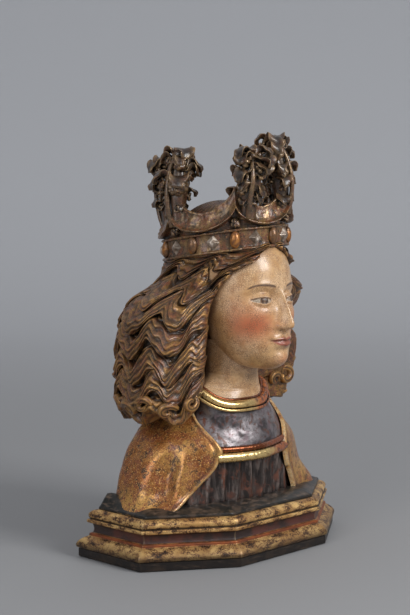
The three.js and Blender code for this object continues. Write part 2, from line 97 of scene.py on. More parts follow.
# %% Millimetres and smooth curves
MM = 0.001
TURN = 2 * math.pi


def ramp(x, low, high):
    """0 below low, 1 above high, and a smooth step between"""
    t = np.clip((x - low) / (high - low), 0, 1)
    return t * t * (3 - 2 * t)


def bell(x, middle, width):
    return np.exp(-(((x - middle) / width) ** 2))


def mix(a, b, t):
    return a + (b - a) * t


def along(stations, x):
    """The value at x of a smooth line through (x, value) stations"""
    xs, ys = np.array(stations, float).T
    last = len(xs) - 1
    before = np.maximum(np.arange(last + 1) - 1, 0)
    after = np.minimum(np.arange(last + 1) + 1, last)
    slope = (ys[after] - ys[before]) / (xs[after] - xs[before])
    at = np.clip(x, xs[0], xs[-1])
    i = np.clip(np.searchsorted(xs, at, side="right") - 1, 0, last - 1)
    width = xs[i + 1] - xs[i]
    t = (at - xs[i]) / width
    start = ys[i] * (1 + 2 * t) * (1 - t) ** 2 + slope[i] * width * t * (1 - t) ** 2
    return start + ys[i + 1] * t * t * (3 - 2 * t) + slope[i + 1] * width * t * t * (t - 1)


def ripple(points, size, seed, octaves=3):
    """A smooth random height between about -1 and 1, with features of one size, as a hand leaves them"""
    chance = np.random.default_rng(seed)
    total = np.zeros(points.shape[:-1])
    for octave in range(octaves):
        for _ in range(6):
            way = chance.normal(size=3)
            way *= TURN / (size * 0.5**octave) / np.linalg.norm(way) * chance.uniform(0.6, 1.2)
            total += 0.5**octave * np.sin(points @ way + chance.uniform(0, TURN))
    return total / 5


print("half way from 0 to 10 a smooth line is at", round(float(along([(0, 0), (1, 10)], 0.5)), 2))

# %% [markdown]
# ## Carving from a grid
#
# A carver starts from a plain block and moves the surface inwards. We do the same: a flat grid is
# added as a primitive, and each of its points is moved to where a function of its two grid
# coordinates says. Points that meet are merged, so that a grid becomes a closed tube, ring or ball,
# and the faces are then turned to point outwards. Values such as how deep a point lies in a groove
# are kept with each point, because the gilding is worn by height, and the finishes darken the depths
# with dirt and painted shade.

# %% The carving helper
MERGE = 2e-6


def carve(name, columns, rows, place):
    """A grid of columns by rows. place(u, v) gives its points in mm, and a dict of values to keep."""
    bpy.ops.object.select_all(action="DESELECT")
    bpy.ops.mesh.primitive_grid_add(x_subdivisions=columns, y_subdivisions=rows, size=1)
    piece = bpy.context.object
    piece.name = name
    piece.data.name = name
    mesh = piece.data
    flat = np.zeros(len(mesh.vertices) * 3)
    mesh.vertices.foreach_get("co", flat)
    flat = flat.reshape(-1, 3)
    u = np.round((flat[:, 0] + 0.5) * columns) / columns
    v = np.round((flat[:, 1] + 0.5) * rows) / rows
    points, kept = place(u, v)
    mesh.vertices.foreach_set("co", (points * MM).ravel())
    for key, values in kept.items():
        layer = mesh.attributes.new(key, "FLOAT", "POINT")
        layer.data.foreach_set("value", np.broadcast_to(values, u.shape).astype(float))
    bpy.ops.object.mode_set(mode="EDIT")
    bpy.ops.mesh.select_all(action="SELECT")
    bpy.ops.mesh.remove_doubles(threshold=MERGE)
    bpy.ops.mesh.normals_make_consistent(inside=False)
    bpy.ops.object.mode_set(mode="OBJECT")
    bpy.ops.object.shade_smooth()
    return piece


def join(pieces, name):
    """Several carved pieces as one object"""
    bpy.ops.object.select_all(action="DESELECT")
    for piece in pieces:
        piece.select_set(True)
    bpy.context.view_layer.objects.active = pieces[0]
    if len(pieces) > 1:
        bpy.ops.object.join()
    whole = bpy.context.view_layer.objects.active
    whole.name = name
    whole.data.name = name
    return whole


print("points of a grid closer than", MERGE, "m become one")

# %% [markdown]
# Many parts of the bust are rolls, stems and curls: a section that runs along a path. The same helper
# makes them all. The path gives the places, a direction outwards keeps the section from twisting, and
# the section may change on the way, so that a stem can taper and a leaf can widen.


# %% Tubes along a path
def unit(vectors):
    return vectors / np.maximum(np.linalg.norm(vectors, axis=-1, keepdims=True), 1e-9)


def sweep(name, path, outward, section, columns=24):
    """A tube along a path of points. section(u, s) gives the side and outward offsets in mm and the
    hollow value, for u round the tube and s from 0 to 1 along it. Its two ends are closed."""
    path = np.asarray(path, float)
    outward = np.broadcast_to(np.asarray(outward, float), path.shape)
    ahead = unit(np.gradient(path, axis=0))
    out = unit(outward - ahead * (outward * ahead).sum(-1, keepdims=True))
    side = np.cross(ahead, out)
    rows = len(path) + 1

    def place(u, v):
        i = np.round(v * rows).astype(int)
        end = (i == 0) | (i == rows)
        i = np.clip(i - 1, 0, len(path) - 1)
        across, height, hollow = section(u % 1, i / (len(path) - 1))
        keep = np.where(end, 0, 1)[:, None]
        offset = side[i] * across[:, None] + out[i] * height[:, None]
        return path[i] + offset * keep, {"hollow": hollow}

    return carve(name, columns, rows, place)


def smooth_path(points, count):
    """Points evenly spaced along a smooth curve through a few given points"""
    points = np.asarray(points, float)
    step = np.r_[0, np.cumsum(np.linalg.norm(np.diff(points, axis=0), axis=1))]
    fine = np.linspace(0, step[-1], count)
    return np.stack([along(np.c_[step, points[:, k]], fine) for k in range(3)], -1)


arch = smooth_path([(0, 0, 0), (5, 0, 5), (10, 0, 0)], 5)
print("heights along a small arch:", arch[:, 2].round(1))

# %% [markdown]
# ## The plinth
#
# The real plinth is a run of moulding, mitred at six corners: a gilded lower roll, a red hollow, and
# a gilded upper roll. Its profile is drawn once, as steps in from the plinth's edge and heights, and
# swept round the six-sided plan. The corner points come from the mitre, where two sides meet.
#
# The low black foot of the carving has the same plan, moved in. The same helper makes it, and raises
# a small bank of wood at the back corner on the figure's right, where the cloak rises from it.

# %% Plinth and foot
PLINTH_WIDTH = 409
PLINTH_DEPTH = 210
FRONT_FACET = 180
CHAMFER_DEPTH = 81
BOARD_TOP = 12.2
PLINTH_TOP = 67
FOOT_INSET = 21
FOOT_TOP = 77
FOOT_SLOPE = 16
BANK_RISE = 17
BANK_REACH = 32
BANK_INSET = 26
BANK_START = 10
EXTRA_POINTS = 4

PLINTH_PROFILE = [
    (2, BOARD_TOP), (-1.6, 13), (-2.4, 15), (-2.6, 17.5), (-1.2, 21), (2.4, 25), (7, 28), (10.4, 29.4),
    (11, 30.2), (11, 32.6), (11.8, 33.6), (15.2, 34.6), (16.2, 40), (15, 45.6), (13.6, 47.6),
    (9.8, 48.2), (8.8, 49.2), (8.6, 51), (8.8, 52.8), (10, 53.8), (12, 54.2), (12, 55), (10.7, 56.4),
    (10.3, 59), (10.9, 61.6), (12.6, 64), (15.4, 65.9), (18.6, PLINTH_TOP),
]
FOOT_PROFILE = [
    (FOOT_INSET, 67.3), (FOOT_INSET, 70), (FOOT_INSET + 1.2, 71.4), (FOOT_INSET + FOOT_SLOPE, FOOT_TOP),
    (FOOT_INSET + FOOT_SLOPE + 12, FOOT_TOP + 1),
]


def plinth_corners(inset):
    """The six corners of the plan, moved in square to each side"""
    half, front = PLINTH_WIDTH / 2, -PLINTH_DEPTH / 2
    corners = np.array([
        (FRONT_FACET / 2, front), (half, front + CHAMFER_DEPTH), (half, -front),
        (-half, -front), (-half, front + CHAMFER_DEPTH), (-FRONT_FACET / 2, front),
    ], float)
    ahead = unit(np.roll(corners, -1, axis=0) - corners)
    inward = np.stack([-ahead[:, 1], ahead[:, 0]], -1)
    before = np.roll(inward, 1, axis=0)
    mitre = (before + inward) / (1 + (before * inward).sum(-1, keepdims=True))
    return corners[None] + np.asarray(inset, float)[:, None, None] * mitre[None]


def moulding(name, profile, per_side, rough, bank=0.0):
    """A closed run of moulding. The profile is rounded by a few extra points between its own ones.
    rough is how uneven it is in mm, and bank how far its inner part rises at the back right corner."""
    profile = np.array(profile, float)
    fine = np.linspace(0, len(profile) - 1, (len(profile) - 1) * EXTRA_POINTS + 1)
    inset = np.interp(fine, np.arange(len(profile)), profile[:, 0])
    height = np.interp(fine, np.arange(len(profile)), profile[:, 1])
    for _ in range(2):
        inset[1:-1] = (inset[:-2] + 2 * inset[1:-1] + inset[2:]) / 4
        height[1:-1] = (height[:-2] + 2 * height[1:-1] + height[2:]) / 4
    corners = plinth_corners(inset)
    rows = len(fine) + 1
    columns = 6 * per_side

    def place(u, v):
        i = np.round(v * rows).astype(int)
        end = (i == 0) | (i == rows)
        i = np.clip(i - 1, 0, len(fine) - 1)
        k = np.round(u * columns).astype(int)
        side = (k // per_side) % 6
        share = (k % per_side) / per_side
        share = 0.5 - 0.5 * np.sign(0.5 - share) * np.abs(1 - 2 * share) ** 0.8
        xy = corners[i, side] * (1 - share[:, None]) + corners[i, (side + 1) % 6] * share[:, None]
        points = np.c_[xy, height[i]]
        inward = unit(-np.c_[xy, np.zeros(len(xy))])
        dent = rough * ripple(points, size=26, seed=3) * (points[:, 2] > profile[0, 1] + 1)
        points = points + inward * dent[:, None]
        corner = np.array((BANK_INSET - PLINTH_WIDTH / 2, PLINTH_DEPTH / 2 - BANK_INSET))
        near = bell(np.hypot(points[:, 0] - corner[0], points[:, 1] - corner[1]), 0, BANK_REACH)
        points[:, 2] += bank * near * ramp(inset[i], FOOT_INSET, FOOT_INSET + BANK_START)
        points[end, :2] = 0
        return points, {"mitre": np.minimum(share, 1 - share) * 2}

    return carve(name, columns, rows, place)


plinth = moulding("plinth_moulding", PLINTH_PROFILE, per_side=40, rough=0.35)
foot = moulding("sloping_foot", FOOT_PROFILE, per_side=24, rough=0.5, bank=BANK_RISE)
print("plinth", len(plinth.data.polygons), "faces, foot", len(foot.data.polygons), "faces")

# %% [markdown]
# ## The body: cloak and dress
#
# The bust is wide and shallow, flat behind and rounded in front. Its plan at each height is a
# squared oval, round in front and nearly square behind, and its half width and its two depths are
# smooth lines up the figure.

# %% Body surface
BODY_WIDEST = 30
BODY_LOW = 68
BODY_TOP = 250
FRONT_ROUND = 1.18
BACK_ROUND = 0.34
HALF_WIDTHS = [(BODY_LOW, 182), (77, 175), (90, 168), (116, 160), (152, 142), (183, 114), (200, 98),
               (214, 84), (230, 68), (BODY_TOP, 50)]
CHEST_DEPTHS = [(BODY_LOW, -66), (116, -68), (152, -71), (183, -64), (200, -58), (214, -52), (230, -44),
                (BODY_TOP, -34)]
BACK_DEPTHS = [(BODY_LOW, 85), (150, 86), (183, 84), (214, 79), (BODY_TOP, 62)]


def half_width(z):
    return along(HALF_WIDTHS, z)


def body_point(angle, z, inset):
    side, front = np.cos(angle), np.sin(angle)
    curve = np.where(front < 0, FRONT_ROUND, BACK_ROUND)
    chest, back = along(CHEST_DEPTHS, z), along(BACK_DEPTHS, z)
    reach = np.where(front < 0, BODY_WIDEST - chest, back - BODY_WIDEST) - inset
    x = (half_width(z) - inset) * np.sign(side) * np.abs(side) ** curve
    y = BODY_WIDEST + reach * np.sign(front) * np.abs(front) ** curve
    return np.stack([x, y, z + 0 * x], -1)


print("body", 2 * half_width(BODY_LOW), "mm wide at the foot,", 2 * half_width(200), "at the shoulders")

# %% [markdown]
# The neckline is a level oval that rises behind. The body has to meet it all round, so whatever comes
# near it is drawn out to it, and whatever would stand inside it sinks below it.

# %% Neckline
NECKLINE = dict(x=-13, y=-2, half_width=68, half_depth=45, front=212, rise=25, level=-0.08, roll=6.6)
NECK_FLARE = 0.009
NECK_BLEND = 36
NECK_CLEAR = 0.92
NECK_SINK = 7


def neckline_height(front_to_back):
    return NECKLINE["front"] + NECKLINE["rise"] * ramp(front_to_back, -1, NECKLINE["level"])


def meet_neckline(points):
    """Fills the body out to the neckline just below it, and sinks what would stand inside it"""
    n = NECKLINE
    x, y = (points[:, 0] - n["x"]) / n["half_width"], (points[:, 1] - n["y"]) / n["half_depth"]
    share = np.maximum(np.hypot(x, y), 1e-6)
    height = neckline_height(y / share)
    below = height - points[:, 2]
    wanted = mix(share, 1.0 + NECK_FLARE * np.maximum(below, 0), ramp(below, NECK_BLEND, 2))
    wanted = np.where(below > 0, np.maximum(share, wanted), np.minimum(share, NECK_CLEAR))
    points[:, 0] = n["x"] + n["half_width"] * x / share * wanted
    points[:, 1] = n["y"] + n["half_depth"] * y / share * wanted
    points[:, 2] = np.minimum(points[:, 2], height - NECK_SINK * (below < 0))
    return points


print("neckline from", neckline_height(-1), "mm in front to", neckline_height(1), "mm behind")

# %% [markdown]
# The cloak goes round the back and over both shoulders and stops at two edges in front. It is one
# sheet of the grid: most columns follow the outside, with its soft folds and its hem, and the last
# ones go back along the inside, so that it is closed.

# %% Cloak
RIGHT_EDGE = [(BODY_LOW, 143), (76, 129), (84, 120), (93, 111), (110, 95), (120, 85), (130, 77), (140, 73),
              (150, 68), (158, 70), (195, 83), (240, 62)]
LEFT_EDGE = [(BODY_LOW, 86), (97, 75), (115, 63), (138, 54), (150, 51), (158, 54), (195, 74), (240, 56)]
CLOAK_OUTSIDE = 0.93
CLOAK_THICKNESS = 13
CLOAK_FOLDS = [(11, 206, 0.13), (2.4, 224, 0.07), (-3, 216, 0.07)]
LEFT_FLARE = [(15, -33, 0.2), (-6, -16, 0.08)]
RIGHT_FLARE = (16, 207, 0.3)


def right_edge(z):
    return along(RIGHT_EDGE, z)


def left_edge(z):
    return along(LEFT_EDGE, z)


def edge_angle(x, z):
    return np.arccos(np.clip(x / half_width(z), 0.05, 0.98) ** (1 / FRONT_ROUND))


def folded(angle, height, middle, width):
    """One soft fold: height in mm, middle in degrees round the body, width in radians"""
    return height * bell(angle, math.radians(middle), width)


def cloak():
    columns, rows = 260, 120
    wrap = CLOAK_OUTSIDE

    def place(u, v):
        z = mix(BODY_LOW, BODY_TOP, np.clip(v * (rows + 2) / rows - 1 / rows, 0, 1))
        end = (v == 0) | (v == 1)
        left = -edge_angle(left_edge(z), z)
        right = math.pi + edge_angle(right_edge(z), z)
        outer = np.clip(u / wrap, 0, 1)
        share = np.where(u <= wrap, outer, 1 - (u - wrap) / (1 - wrap))
        angle = mix(left, right, share)
        low = 1 - ramp(z, 120, 175)
        fold = sum(folded(angle, *one) * low for one in CLOAK_FOLDS)
        fold -= sum(folded(angle, *one) for one in LEFT_FLARE) * (1 - ramp(z, 80, 118))
        fold -= folded(angle, *RIGHT_FLARE) * (1 - ramp(z, 66, 100))
        flat = body_point(angle, z, 0)
        fold += 1.1 * ripple(flat, size=60, seed=5, octaves=2)
        fold += 0.35 * ripple(flat, size=17, seed=6, octaves=2)
        from_edge = np.minimum(angle - left, right - angle) * 120
        hem = -1.3 * bell(from_edge, 4, 3) + 1.0 * bell(from_edge, 9.5, 2)
        lip = 4.5 * np.clip(1 - from_edge / 3.2, 0, 1) ** 2
        inside = (u > wrap) * CLOAK_THICKNESS
        points = body_point(angle, z, fold + hem + lip + inside)
        points[end] = (0, 20, BODY_LOW)
        points[end & (v == 1)] = (0, 20, BODY_TOP)
        points = meet_neckline(points)
        bright_hem = bell(from_edge, 1.6, 2.8) * (u <= wrap)
        # painted shade: the groove beside the hem is marked hollow and darkened in the finish
        return points, {"hem": bright_hem, "hollow": bell(from_edge, 9.5, 2.4) * 0.6}

    return carve("cloak", columns, rows + 2, place)


cloak_piece = cloak()
print("cloak", len(cloak_piece.data.polygons), "faces")

# %% [markdown]
# Between the cloak's edges the dress lies a few millimetres deeper. It is smooth over the chest, and
# below the band it hangs in upright pleats that swing a little, as hand-cut ones do.

# %% Dress
DRESS_INSET = 7
DRESS_OUTSIDE = 0.86
DRESS_THICKNESS = 12
DRESS_TOP = BODY_TOP - 8
PLEAT_PITCH = 23
PLEAT_DEPTH = 6
SKIRT_TOP = 148


def dress():
    columns, rows = 200, 150
    wrap = DRESS_OUTSIDE

    def place(u, v):
        z = mix(BODY_LOW, DRESS_TOP, np.clip(v * (rows + 2) / rows - 1 / rows, 0, 1))
        share = np.where(u <= wrap, np.clip(u / wrap, 0, 1), 1 - (u - wrap) / (1 - wrap))
        x = mix(-right_edge(z) - 6, left_edge(z) + 6, share)
        from_middle = np.arccos(np.clip(np.abs(x) / half_width(z), 0, 0.98) ** (1 / FRONT_ROUND))
        angle = np.where(x < 0, math.pi + from_middle, TURN - from_middle)
        low = 1 - ramp(z, SKIRT_TOP - 10, SKIRT_TOP + 1)
        swing = x + 2.2 * np.sin(z / 19 + x / 40)
        wave = 0.5 - 0.5 * np.cos(swing / PLEAT_PITCH * TURN)
        fold = PLEAT_DEPTH * wave**0.7 * low
        chest = body_point(angle, z, 0)
        fold = fold + 0.7 * ripple(chest, size=48, seed=8, octaves=2)
        fold = fold + 0.25 * ripple(chest, size=13, seed=9, octaves=2)
        inside = (u > wrap) * DRESS_THICKNESS
        points = body_point(angle, z, DRESS_INSET - 1 + fold + inside)
        points[v == 0] = (-20, 0, BODY_LOW)
        points[v == 1] = (0, 0, DRESS_TOP)
        points = meet_neckline(points)
        # the pleat valleys' hollow value is darkened in the finish as painted shade
        return points, {"hollow": wave * low}

    return carve("dress", columns, rows + 2, place)


dress_piece = dress()
print("dress", len(dress_piece.data.polygons), "faces")

# %% [markdown]
# ## Rolled edges
#
# Two carved rolls lie across the chest, and a rolled neckline with fine fillets goes round the neck.
# Each is a tube along its own path. The chest rolls end under the cloak's edges; the neckline's come
# back to their start.

# %% Chest band and collar
BAND_HEIGHT = 145
BAND_HALF = 7.2
CORD_RISE = 11
CORD_HALF = 4.4


def round_section(half, depth, knobble=0.0):
    def section(u, s):
        swell = 1 + knobble * np.sin(s * 97 + np.sin(s * 31) * 2)
        hollow = ramp(-np.cos(u * TURN), 0, 1)
        return half * swell * np.sin(u * TURN), depth * swell * np.cos(u * TURN), hollow
    return section


def chest_roll(name, z, half, stand):
    """A roll of half thickness in mm across the chest at height z, standing out from the dress"""
    right = math.pi + edge_angle(right_edge(z) + 6, z)
    left = TURN - edge_angle(left_edge(z) + 6, z)
    share = np.linspace(0, 1, 90)
    height = z - 3.5 * (1 - share) - 2 * np.sin(math.pi * share)
    path = body_point(mix(right, left, share), height, DRESS_INSET - stand)
    outward = path - np.array((0, BODY_WIDEST, 0))
    outward[:, 2] = 0
    return sweep(name, path, outward, round_section(half, half, knobble=0.02), columns=20)


def neckline_point(around, out, lift):
    n = NECKLINE
    return np.stack([
        n["x"] + np.cos(around) * (n["half_width"] + out),
        n["y"] + np.sin(around) * (n["half_depth"] + out),
        neckline_height(np.sin(around)) + lift,
    ], -1)


def neckline_path(out, lift):
    return neckline_point(np.linspace(0, TURN, 161), out, lift)


def ring(name, path, half, depth):
    """A tube along a path that comes back to its start"""
    centre = path[:-1].mean(axis=0)
    ahead = unit(np.roll(path[:-1], -1, axis=0) - np.roll(path[:-1], 1, axis=0))
    out = path[:-1] - centre
    out = unit(out - ahead * (out * ahead).sum(-1, keepdims=True))
    side = np.cross(ahead, out)
    count = len(path) - 1

    def place(u, v):
        i = np.round(v * count).astype(int) % count
        turn = (u % 1) * TURN
        offset = side[i] * (half * np.sin(turn))[:, None] + out[i] * (depth * np.cos(turn))[:, None]
        return path[i] + offset, {"hollow": ramp(-np.cos(turn), 0, 1)}

    return carve(name, 18, count, place)


def collar():
    roll = ring("roll", neckline_path(0, 0), NECKLINE["roll"], NECKLINE["roll"])
    below = ring("below", neckline_path(7, -7), 2.2, 1.8)
    return join([roll, below], "collar")


collar_piece = collar()
collar_cord = ring("collar_cord", neckline_path(-4.5, 7), 2.3, 2.3)
band_low = chest_roll("chest_band", BAND_HEIGHT, BAND_HALF, stand=2)
band_top = chest_roll("chest_cord", BAND_HEIGHT + CORD_RISE, CORD_HALF, stand=1.5)
print("collar", len(collar_piece.data.polygons), "faces, band", len(band_low.data.polygons), "faces")

# %% [markdown]
# ## The face and neck
#
# The face is a plain young one on school proportions: the eyes half way up the head, the nose and
# mouth at even steps to the chin. It starts as a smooth egg made of a few ellipsoids that flow
# together: the skull, the cheeks, the jaw and the chin. Here x is across the face, -y is forwards and
# z is up from the level of the eyes.


# %% The egg of the head
def ellipsoid(p, centre, radii):
    q = (p - np.array(centre)) / np.array(radii)
    reach = np.linalg.norm(q, axis=-1) + 1e-9
    rate = np.linalg.norm(q / np.array(radii), axis=-1) + 1e-9
    return reach * (reach - 1) / rate


def blend_in(a, b, width):
    h = np.clip(0.5 + 0.5 * (b - a) / width, 0, 1)
    return b + (a - b) * h - width * h * (1 - h)


def head_base(p):
    """Distance to the skull, cheeks and jaw, without features"""
    q = np.concatenate([np.abs(p[..., :1]), p[..., 1:]], -1)
    d = ellipsoid(q, (0, -4, 26), (71, 78, 82))
    d = blend_in(d, ellipsoid(q, (0, -20, -22), (62, 64, 66)), 22)
    d = blend_in(d, ellipsoid(q, (0, -40, -66), (37, 44, 31)), 26)
    return blend_in(d, ellipsoid(q, (0, -66, -80), (17, 18, 15)), 16)


print("the middle of the head lies", round(-float(head_base(np.zeros(3))), 1), "mm inside the egg")

# %% [markdown]
# The features are heights added to the egg, each a function of the place on the face. Curves say
# where the lids, the brows and the line of the mouth run, and soft patches and ridges rise or sink
# along them.

# %% Features
EYE_X = 30
EYE_HALF = 14.5
EYE_RADIUS = 17.5


def lid_edges(x):
    """Heights of the upper and lower lid edge at a distance x from the middle of the face"""
    u = (x - EYE_X) / EYE_HALF
    rise = np.clip(1 - u * u, 0, None)
    tilt = 0.05 * (x - EYE_X)
    return tilt + 4.6 * rise**0.75 * (1 - 0.12 * u), tilt - 3.3 * rise**0.85 * (1 + 0.18 * u)


def brow_line(x):
    return 15.5 + 4.5 * np.sin(np.clip((x - 8) / 46, 0, 1) * math.pi) ** 0.8 - 4 * ramp(x, 40, 58)


def mouth_line(x):
    return -57 + 0.9 * bell(x, 5.5, 4) - 0.5 * bell(x, 0, 3) + 0.6 * ramp(x, 12, 24)


def patch(x, z, x0, z0, width, height):
    return np.exp(-(((x - x0) / width) ** 2) - ((z - z0) / height) ** 2)


def eye_relief(x, z, h):
    upper, lower = lid_edges(x)
    flat = EYE_RADIUS**2 - (x - EYE_X) ** 2 * 0.92 - (z - 0.6) ** 2 * 1.25
    ball = np.where(flat > 0, np.sqrt(np.clip(flat, 0, None)) - EYE_RADIUS - 0.3, -30)
    opening = ramp(z, lower - 0.5, lower + 0.5) * (1 - ramp(z, upper - 0.5, upper + 0.5))
    opening *= 1 - ramp(np.abs(x - EYE_X), 13.2, 14.6)
    lid = 1.9 * (1 - opening)
    lid -= 0.9 * bell(z, upper + 4.8, 1.2) * (1 - ramp(np.abs(x - EYE_X), 10, 17))
    return -blend_in(-h, -(ball + lid), 2.5)


def nose_relief(x, z):
    half = along([(-44, 11), (-36, 12.5), (-28, 9.5), (-14, 6.6), (0, 5.6), (10, 6.5), (20, 12)], z)
    high = along([(-46, 0), (-41.5, 6), (-38.5, 15.5), (-34, 19), (-29, 19), (-20, 16), (-8, 11.4),
                  (4, 7.2), (12, 4.2), (20, 1.6), (32, 0)], z)
    ridge = high * (0.86 * np.exp(-((x / half) ** 2) * 1.05) + 0.14 * np.exp(-((x / (half * 2.1)) ** 2)))
    wing = 9.5 * patch(x, z, 11.5, -35.5, 5.2, 5.6)
    return -blend_in(-ridge, -wing, 3)


def mouth_relief(x, z):
    middle = mouth_line(x)
    h = 4.0 * patch(x, z, 0, -55, 24, 15)
    h += 3.0 * bell(z, middle + 2.9, 3.2) * np.clip(1 - (x / 21.5) ** 2, 0, None) ** 0.7
    h += 3.6 * bell(z, middle - 5, 4.1) * np.clip(1 - (x / 17.5) ** 2, 0, None)
    h -= 2.6 * bell(z, middle, 1.3) * np.clip(1 - (x / 22) ** 2, 0, None) ** 0.35
    h -= 1.6 * patch(x, z, 22.8, -57, 4.2, 4.5)
    return h - 1.1 * patch(x, z, 0, -47.5, 2.6, 4.5)


def face_relief(x, z):
    """How far the features stand out from the egg"""
    x = np.abs(x)
    h = 1.6 * bell(z, brow_line(x) + 1, 6.5) * ramp(x, 2, 16) * (1 - ramp(x, 48, 64))
    h -= 7.5 * patch(x, z, 27, 4, 19, 12.5)
    h -= 4.5 * patch(x, z, 13, 4, 8, 10)
    h = eye_relief(x, z, h)
    h += nose_relief(x, z)
    h -= 1.6 * patch(x, z, 18.5, -36, 2.6, 6)
    h -= 2.5 * patch(x, z, 6.5, -41.5, 3.2, 1.6)
    h += mouth_relief(x, z)
    h -= 3.0 * patch(x, z, 0, -70.5, 17, 5.2)
    h += 2.6 * patch(x, z, 0, -84, 13, 8.5)
    h += 3.0 * patch(x, z, 37, -24, 17, 17)
    h -= 1.4 * patch(x, z, 27, -48, 6, 13)
    return h + 0.8 * patch(x, z, 27, -12, 9, 4)


def head_distance(p):
    return head_base(p) - face_relief(p[..., 0], p[..., 2]) * ramp(-p[..., 1], 10, 45)


nose = float(face_relief(np.array(0.0), np.array(-32.0)))
print("the nose stands", round(nose, 1), "mm out from the egg")

# %% [markdown]
# The same curves say where the painter puts the lips, brows, eyes and blush, so the paint always fits
# the carving. They are kept as values from 0 to 1 with each point.


# %% Where the paint goes
def face_paint(p):
    """Where the painter's colours go, from 0 to 1"""
    x, z = np.abs(p[..., 0]), p[..., 2]
    front = ramp(-p[..., 1], 20, 50)
    upper, lower = lid_edges(x)
    middle = mouth_line(x)
    lip_top = middle + 5.6 * np.clip(1 - (x / 21.5) ** 2, 0, None) ** 0.8 - 0.8 * bell(x, 0, 2.5)
    lip_low = middle - 8.2 * np.clip(1 - (x / 19) ** 2, 0, None) ** 0.7
    lips = ramp(z, lip_low - 0.8, lip_low + 0.8) * (1 - ramp(z, lip_top - 0.8, lip_top + 0.8))
    lips *= 1 - ramp(x, 19.5, 22)
    eye = ramp(z, lower - 0.3, lower + 0.4) * (1 - ramp(z, upper - 0.5, upper + 0.2))
    eye *= 1 - ramp(np.abs(x - EYE_X), 13, 14.2)
    iris = 1 - ramp(np.hypot(x - EYE_X, z - 0.8), 4.6, 5.6)
    lash = bell(z, upper + 0.5, 1.1) * (1 - ramp(np.abs(x - EYE_X - 0.5), 13.5, 15.5))
    brow = bell(z, brow_line(x) + 2.5, 1.4 + 0.6 * bell(x, 24, 12))
    brow *= ramp(x, 9, 14) * (1 - ramp(x, 46, 54))
    blush = patch(x, z, 40, -34, 22, 20) + 0.5 * patch(x, z, 0, -84, 12, 8)
    blush = blush + 0.35 * patch(x, z, 62, -20, 18, 34)
    return {
        "lips": lips * front, "eye": eye * front, "iris": iris * eye * front,
        "line": np.clip(0.85 * lash + brow, 0, 1) * front, "blush": blush * front,
        "mouth": bell(z, middle, 0.9) * (1 - ramp(x, 19, 23)) * front,
    }


print("painted:", ", ".join(face_paint(np.zeros((1, 3)))))

# %% [markdown]
# To carve the head, rays go out from a point inside it, closer together towards the face, and each is
# halved again and again until it ends on the surface. The neck is a tube from the neckline up into
# the head, with two soft creases and the pit of the throat.

# %% Face and neck
HEAD_TURN = math.radians(3)
HEAD = np.array((2, -12, 362.0))
RAY_START = np.array((0, -12, -22.0))
RAY_LENGTH = 180.0
HALVINGS = 26
NECK_TOP = 306
NECK_HALF_WIDTHS = [(200, 66), (222, 53), (240, 45), (262, 42), (NECK_TOP, 46)]
NECK_HALF_DEPTHS = [(200, 48), (222, 41), (240, 39), (262, 41), (NECK_TOP, 46)]


def face():
    columns, rows = 270, 210

    def place(u, v):
        share = 2 * u - 1
        turn = math.pi * np.sign(share) * (0.45 * np.abs(share) + 0.55 * np.abs(share) ** 2.6)
        rise = (v - 0.5) * math.pi
        tip = rise * (0.62 + 0.38 * (rise / (math.pi / 2)) ** 2)
        ray = np.stack([np.sin(turn) * np.cos(tip), -np.cos(turn) * np.cos(tip), np.sin(tip)], -1)
        near, far = np.zeros(u.shape), np.full(u.shape, RAY_LENGTH)
        for _ in range(HALVINGS):
            middle = (near + far) / 2
            within = head_distance(RAY_START + ray * middle[:, None]) < 0
            near = np.where(within, middle, near)
            far = np.where(within, far, middle)
        p = RAY_START + ray * near[:, None]
        p[v == 0] = p[v == 0].mean(axis=0)
        p[v == 1] = p[v == 1].mean(axis=0)
        paint = face_paint(p)
        c, s = math.cos(HEAD_TURN), math.sin(HEAD_TURN)
        turned = np.stack([p[:, 0] * c - p[:, 1] * s, p[:, 0] * s + p[:, 1] * c, p[:, 2]], -1)
        return turned + HEAD, paint

    return carve("face", columns, rows, place)


def neck():
    """From the neckline up into the head"""
    columns, rows = 140, 80

    def place(u, v):
        angle = u * TURN
        low = neckline_point(angle, -4, -4)
        z = mix(low[:, 2], NECK_TOP, v)
        x = along(NECK_HALF_WIDTHS, z) * np.cos(angle)
        y = along(NECK_HALF_DEPTHS, z) * np.sin(angle)
        crease = bell(z, 238 + 5 * np.sin(angle), 1.6) + 0.8 * bell(z, 256 + 4 * np.sin(angle), 1.8)
        pit = 3.0 * bell(angle, 1.47 * math.pi, 0.16) * bell(z, 216, 9)
        shrink = 1 - (crease + pit) * (np.sin(angle) < 0.3) / 45
        slope = 1 - (1 - np.clip(v / 0.3, 0, 1)) ** 2
        points = np.stack([mix(low[:, 0], x * shrink, slope), mix(low[:, 1], y * shrink, slope), z], -1)
        points[v == 0] = (-8, 6, 214)
        points[v == 1] = (0, 0, NECK_TOP)
        return points, {}

    return carve("neck", columns, rows, place)


face_piece = face()
neck_piece = neck()
print("face", len(face_piece.data.polygons), "faces, neck", len(neck_piece.data.polygons), "faces")

# %% [markdown]
# ## The hair
#
# The hair hangs from under the crown, so the crown's oval comes first. It is turned further than the
# head and has a slope from front to back. Any point of the crown is named by an angle from its front,
# a distance out from the oval and a height over the middle of the band.

# %% The crown's oval
CROWN_TURN = math.radians(21)
CROWN_SLOPE = math.tan(math.radians(7.3))
CROWN = np.array((0, 8, 442.0))
CROWN_HALF_LENGTH = 90
CROWN_HALF_WIDTH = 81
BAND_WIDTH = 31


def crown_point(angle, out, z):
    """A point of the crown: angle from the front towards the figure's left, distance out, height"""
    side = np.sin(angle) * (CROWN_HALF_WIDTH + out)
    front = np.cos(angle) * (CROWN_HALF_LENGTH + out)
    c, s = math.cos(CROWN_TURN), math.sin(CROWN_TURN)
    return np.stack([side * c + front * s, side * s - front * c, z + front * CROWN_SLOPE], -1) + CROWN


print("front of the crown's band at", crown_point(0.0, 0, 0).round(1))

